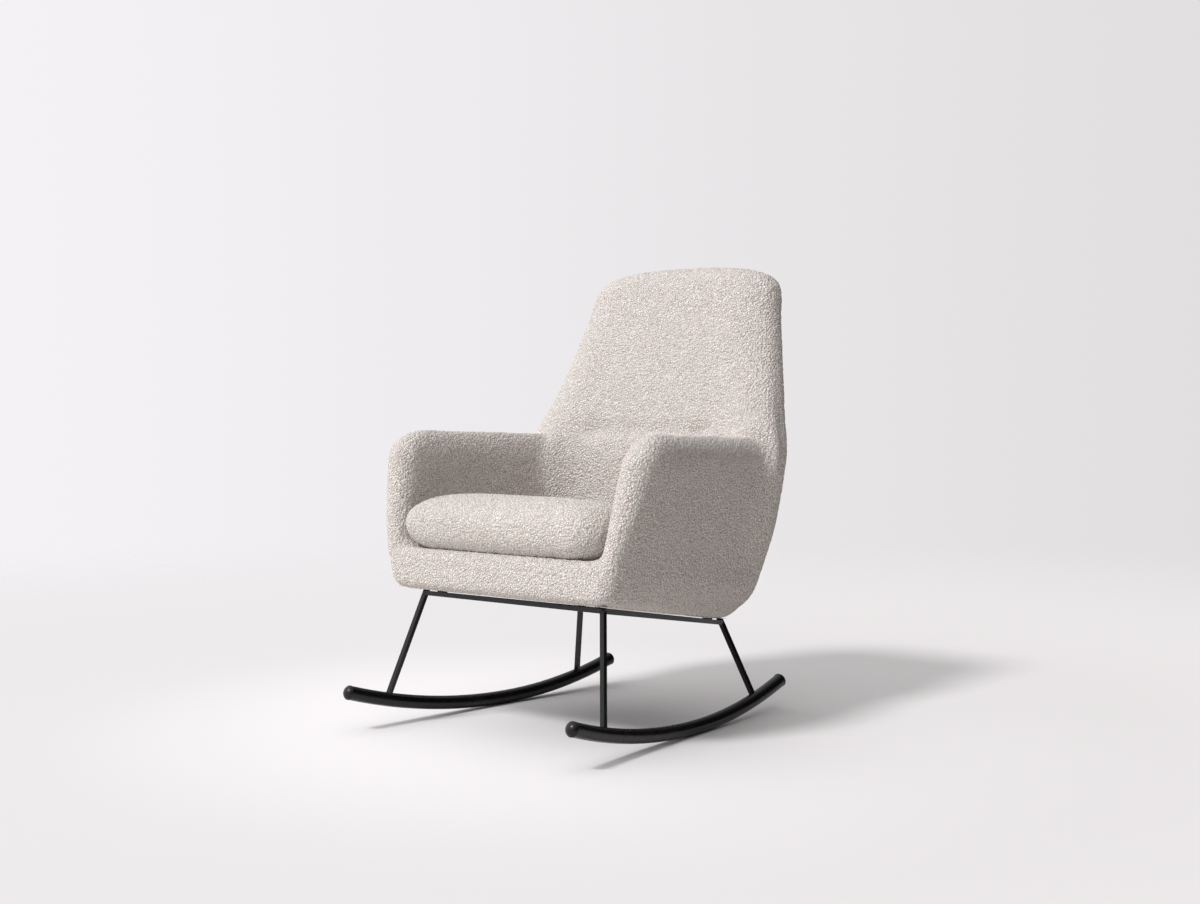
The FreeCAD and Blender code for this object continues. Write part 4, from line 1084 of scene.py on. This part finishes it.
@dataclass
class FrameDresser:
    """Gives each CAD node the finish of its material slot and eases the edges of its bars."""

    materials: dict[str, bpy.types.Material]
    bars: tuple[str, ...] = ("leg_", "frame_rail_")
    edge: float = 0.0009
    weld_gap: float = 0.00001
    sharp_angle: float = 40.0

    def dress(self, frame: dict) -> int:
        """Finish every node of the frame.


        Returns:
            How many nodes were finished.
        """
        slots = {part["node"]: part["material_slot"] for part in frame["record"]["subparts"]}
        for name, obj in frame["nodes"].items():
            obj.data.materials.clear()
            obj.data.materials.append(self.materials[slots[name]])
            if name.startswith(self.bars):
                weld = obj.modifiers.new("weld", "WELD")
                weld.merge_threshold = self.weld_gap
                bevel = obj.modifiers.new("eased_edges", "BEVEL")
                bevel.width = self.edge
                bevel.segments = 2
                bevel.angle_limit = math.radians(self.sharp_angle)
                bevel.harden_normals = True
        return len(frame["nodes"])


# Studio


CAMERA_RIGHT = (0.7782, 0.6280, 0.0)


@dataclass
class Studio:
    """Camera, floor, backdrop light and key light.

    The camera and reflections see the floor's tone with painted light in it: brighter near the chair and a
    touch brighter on the left. Light that bounces off it takes floor_bounce.
    """

    lens: float = 50.05
    camera_place: Direction = (2.2928, -2.7838, 0.7108)
    camera_pitch: float = 88.0
    camera_turn: float = 38.9
    floor_radius: float = 5.2
    fade_start: float = 1.7
    fade_end: float = 4.9
    near_start: float = 0.3
    near_end: float = 1.3
    near_share: float = 0.55
    floor_reach: float = 1.1
    backdrop_reach: float = 0.42
    # Painted light: the backdrop is brighter on the camera's left and darker to its right.
    bright_side: Colour = (0.905, 0.888, 0.908)
    dim_side: Colour = (0.755, 0.738, 0.745)
    # Painted light: the floor's seen tone is a touch brighter on the camera's left than on its right.
    floor_bright: Colour = (0.70, 0.69, 0.705)
    floor_dim: Colour = (0.70, 0.685, 0.695)
    # Painted light: a brighter tone painted on the floor near the chair, fading out by 1.3 m.
    floor_painted_light: Colour = (0.90, 0.885, 0.90)
    floor_bounce: Colour = (0.76, 0.735, 0.715)
    ambient_dim: float = 0.03
    ambient_bright: float = 1.40
    to_ambient: Direction = (-0.60, -0.48, 0.64)
    key_strength: float = 1.80
    key_softness: float = 11.0
    to_key: Direction = (-0.11, -0.665, 0.74)

    def camera(self) -> None:
        """A 50 mm camera at the photograph's place and angle."""
        data = bpy.data.cameras.new("camera")
        data.lens = self.lens
        data.sensor_width = 36.0
        data.clip_end = 60.0
        obj = bpy.data.objects.new("camera", data)
        obj.location = self.camera_place
        obj.rotation_euler = (math.radians(self.camera_pitch), 0.0, math.radians(self.camera_turn))
        bpy.context.scene.collection.objects.link(obj)
        bpy.context.scene.camera = obj

    def floor(self) -> None:
        """A pale floor under the chair that fades into the backdrop a few metres away.

        Its seen tone holds painted light: a brighter pool near the chair and a slight fall from left to
        right.
        """
        ring = np.linspace(0, 2 * np.pi, 96, endpoint=False)
        points = self.floor_radius * np.stack([np.cos(ring), np.sin(ring), 0 * ring], -1)
        material = bpy.data.materials.new("floor")
        material.use_nodes = True
        graph = Graph(material.node_tree)
        place = graph.object_coords()
        across = graph.along(place, CAMERA_RIGHT)
        away = graph.add("VectorMath", {0: place}, operation="LENGTH").outputs["Value"]
        reach = self.floor_reach
        # Painted light: a little brighter on the left, dimmer on the right.
        plain = graph.mix(graph.remap(across, -reach, reach), self.floor_bright, self.floor_dim)
        # Painted light: a brighter pool near the chair.
        nearness = graph.remap(away, self.near_start, self.near_end, 1.0, 0.0)
        near = graph.math("MULTIPLY", nearness, self.near_share)
        shown = graph.mix(near, plain, self.floor_painted_light)
        path = graph.add("LightPath").outputs
        seen = graph.math("MAXIMUM", path["Is Camera Ray"], path["Is Glossy Ray"])
        seen = graph.math("MAXIMUM", seen, path["Is Transmission Ray"])
        tone = graph.mix(seen, self.floor_bounce, shown)
        shader = graph.add("BsdfPrincipled", {"Base Color": tone, "Roughness": 0.9})
        shader.inputs["Specular IOR Level"].default_value = 0.0
        clear = graph.add("BsdfTransparent")
        fade = graph.remap(away, self.fade_start, self.fade_end)
        mixed = graph.add("MixShader", {0: fade, 1: shader.outputs[0], 2: clear.outputs[0]})
        output = graph.add("OutputMaterial", {"Surface": mixed.outputs[0]})
        output.is_active_output = True
        make_piece("floor", Surface(points, [tuple(range(len(ring)))]), material)

    def world(self) -> None:
        """A backdrop with painted light, brighter on the left and darker to the right, and even light that
        is stronger from the left.
        """
        world = bpy.data.worlds.new("studio")
        world.use_nodes = True
        graph = Graph(world.node_tree)
        direction = graph.add("TexCoord").outputs["Generated"]
        across = graph.along(direction, CAMERA_RIGHT)
        reach = self.backdrop_reach
        # Painted light: the backdrop's tone falls from left to right.
        seen = graph.mix(graph.remap(across, -reach, reach), self.bright_side, self.dim_side)
        towards = graph.along(direction, self.to_ambient)
        light = graph.remap(towards, -0.2, 1.0, self.ambient_dim, self.ambient_bright)
        path = graph.add("LightPath").outputs
        direct = graph.math("MAXIMUM", path["Is Camera Ray"], path["Is Transmission Ray"])
        backdrop = graph.add("Background", {"Color": seen, "Strength": 1.0})
        lamp = graph.add("Background", {"Color": (1.0, 0.985, 0.98, 1.0), "Strength": light})
        mixed = graph.add("MixShader", {0: direct, 1: lamp.outputs[0], 2: backdrop.outputs[0]})
        graph.add("OutputWorld", {"Surface": mixed.outputs[0]})
        bpy.context.scene.world = world

    def key(self) -> None:
        """The soft key light, from in front of the chair and high up."""
        data = bpy.data.lights.new("key", "SUN")
        data.energy = self.key_strength
        data.angle = math.radians(self.key_softness)
        data.color = (1.0, 0.992, 0.985)
        obj = bpy.data.objects.new("key", data)
        x, y, z = self.to_key
        obj.location = (3 * x, 3 * y, 3 * z)
        obj.rotation_euler = (math.atan2(math.hypot(x, y), z), 0.0, math.atan2(y, x) + math.pi / 2)
        bpy.context.scene.collection.objects.link(obj)

    def build(self) -> None:
        """Set up the whole studio."""
        self.camera()
        self.floor()
        self.world()
        self.key()
        bpy.context.scene.view_settings.view_transform = "Standard"


def main() -> None:
    """Load the frame, dress it and light it."""
    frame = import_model()
    Studio().build()
    groups = {"wool": looped_wool_group(), "grain": wear_group(), "weave": weave_group()}
    materials = {finish.slot.value: finish.build(groups) for finish in FINISHES}
    LOG.info("dressed %d frame nodes", FrameDresser(materials).dress(frame))
    skin = ShellSkin().build(materials[Slot.BOUCLE.value])
    LOG.info("shell: %d faces", len(skin.data.polygons))
    for piece in SeatCushion().build(materials[Slot.BOUCLE.value], materials[Slot.FOAM.value]):
        LOG.info("%s: %d faces", piece.name, len(piece.data.polygons))


if __name__ == "__main__":
    logging.basicConfig(level=logging.INFO, format="%(message)s")
    main()
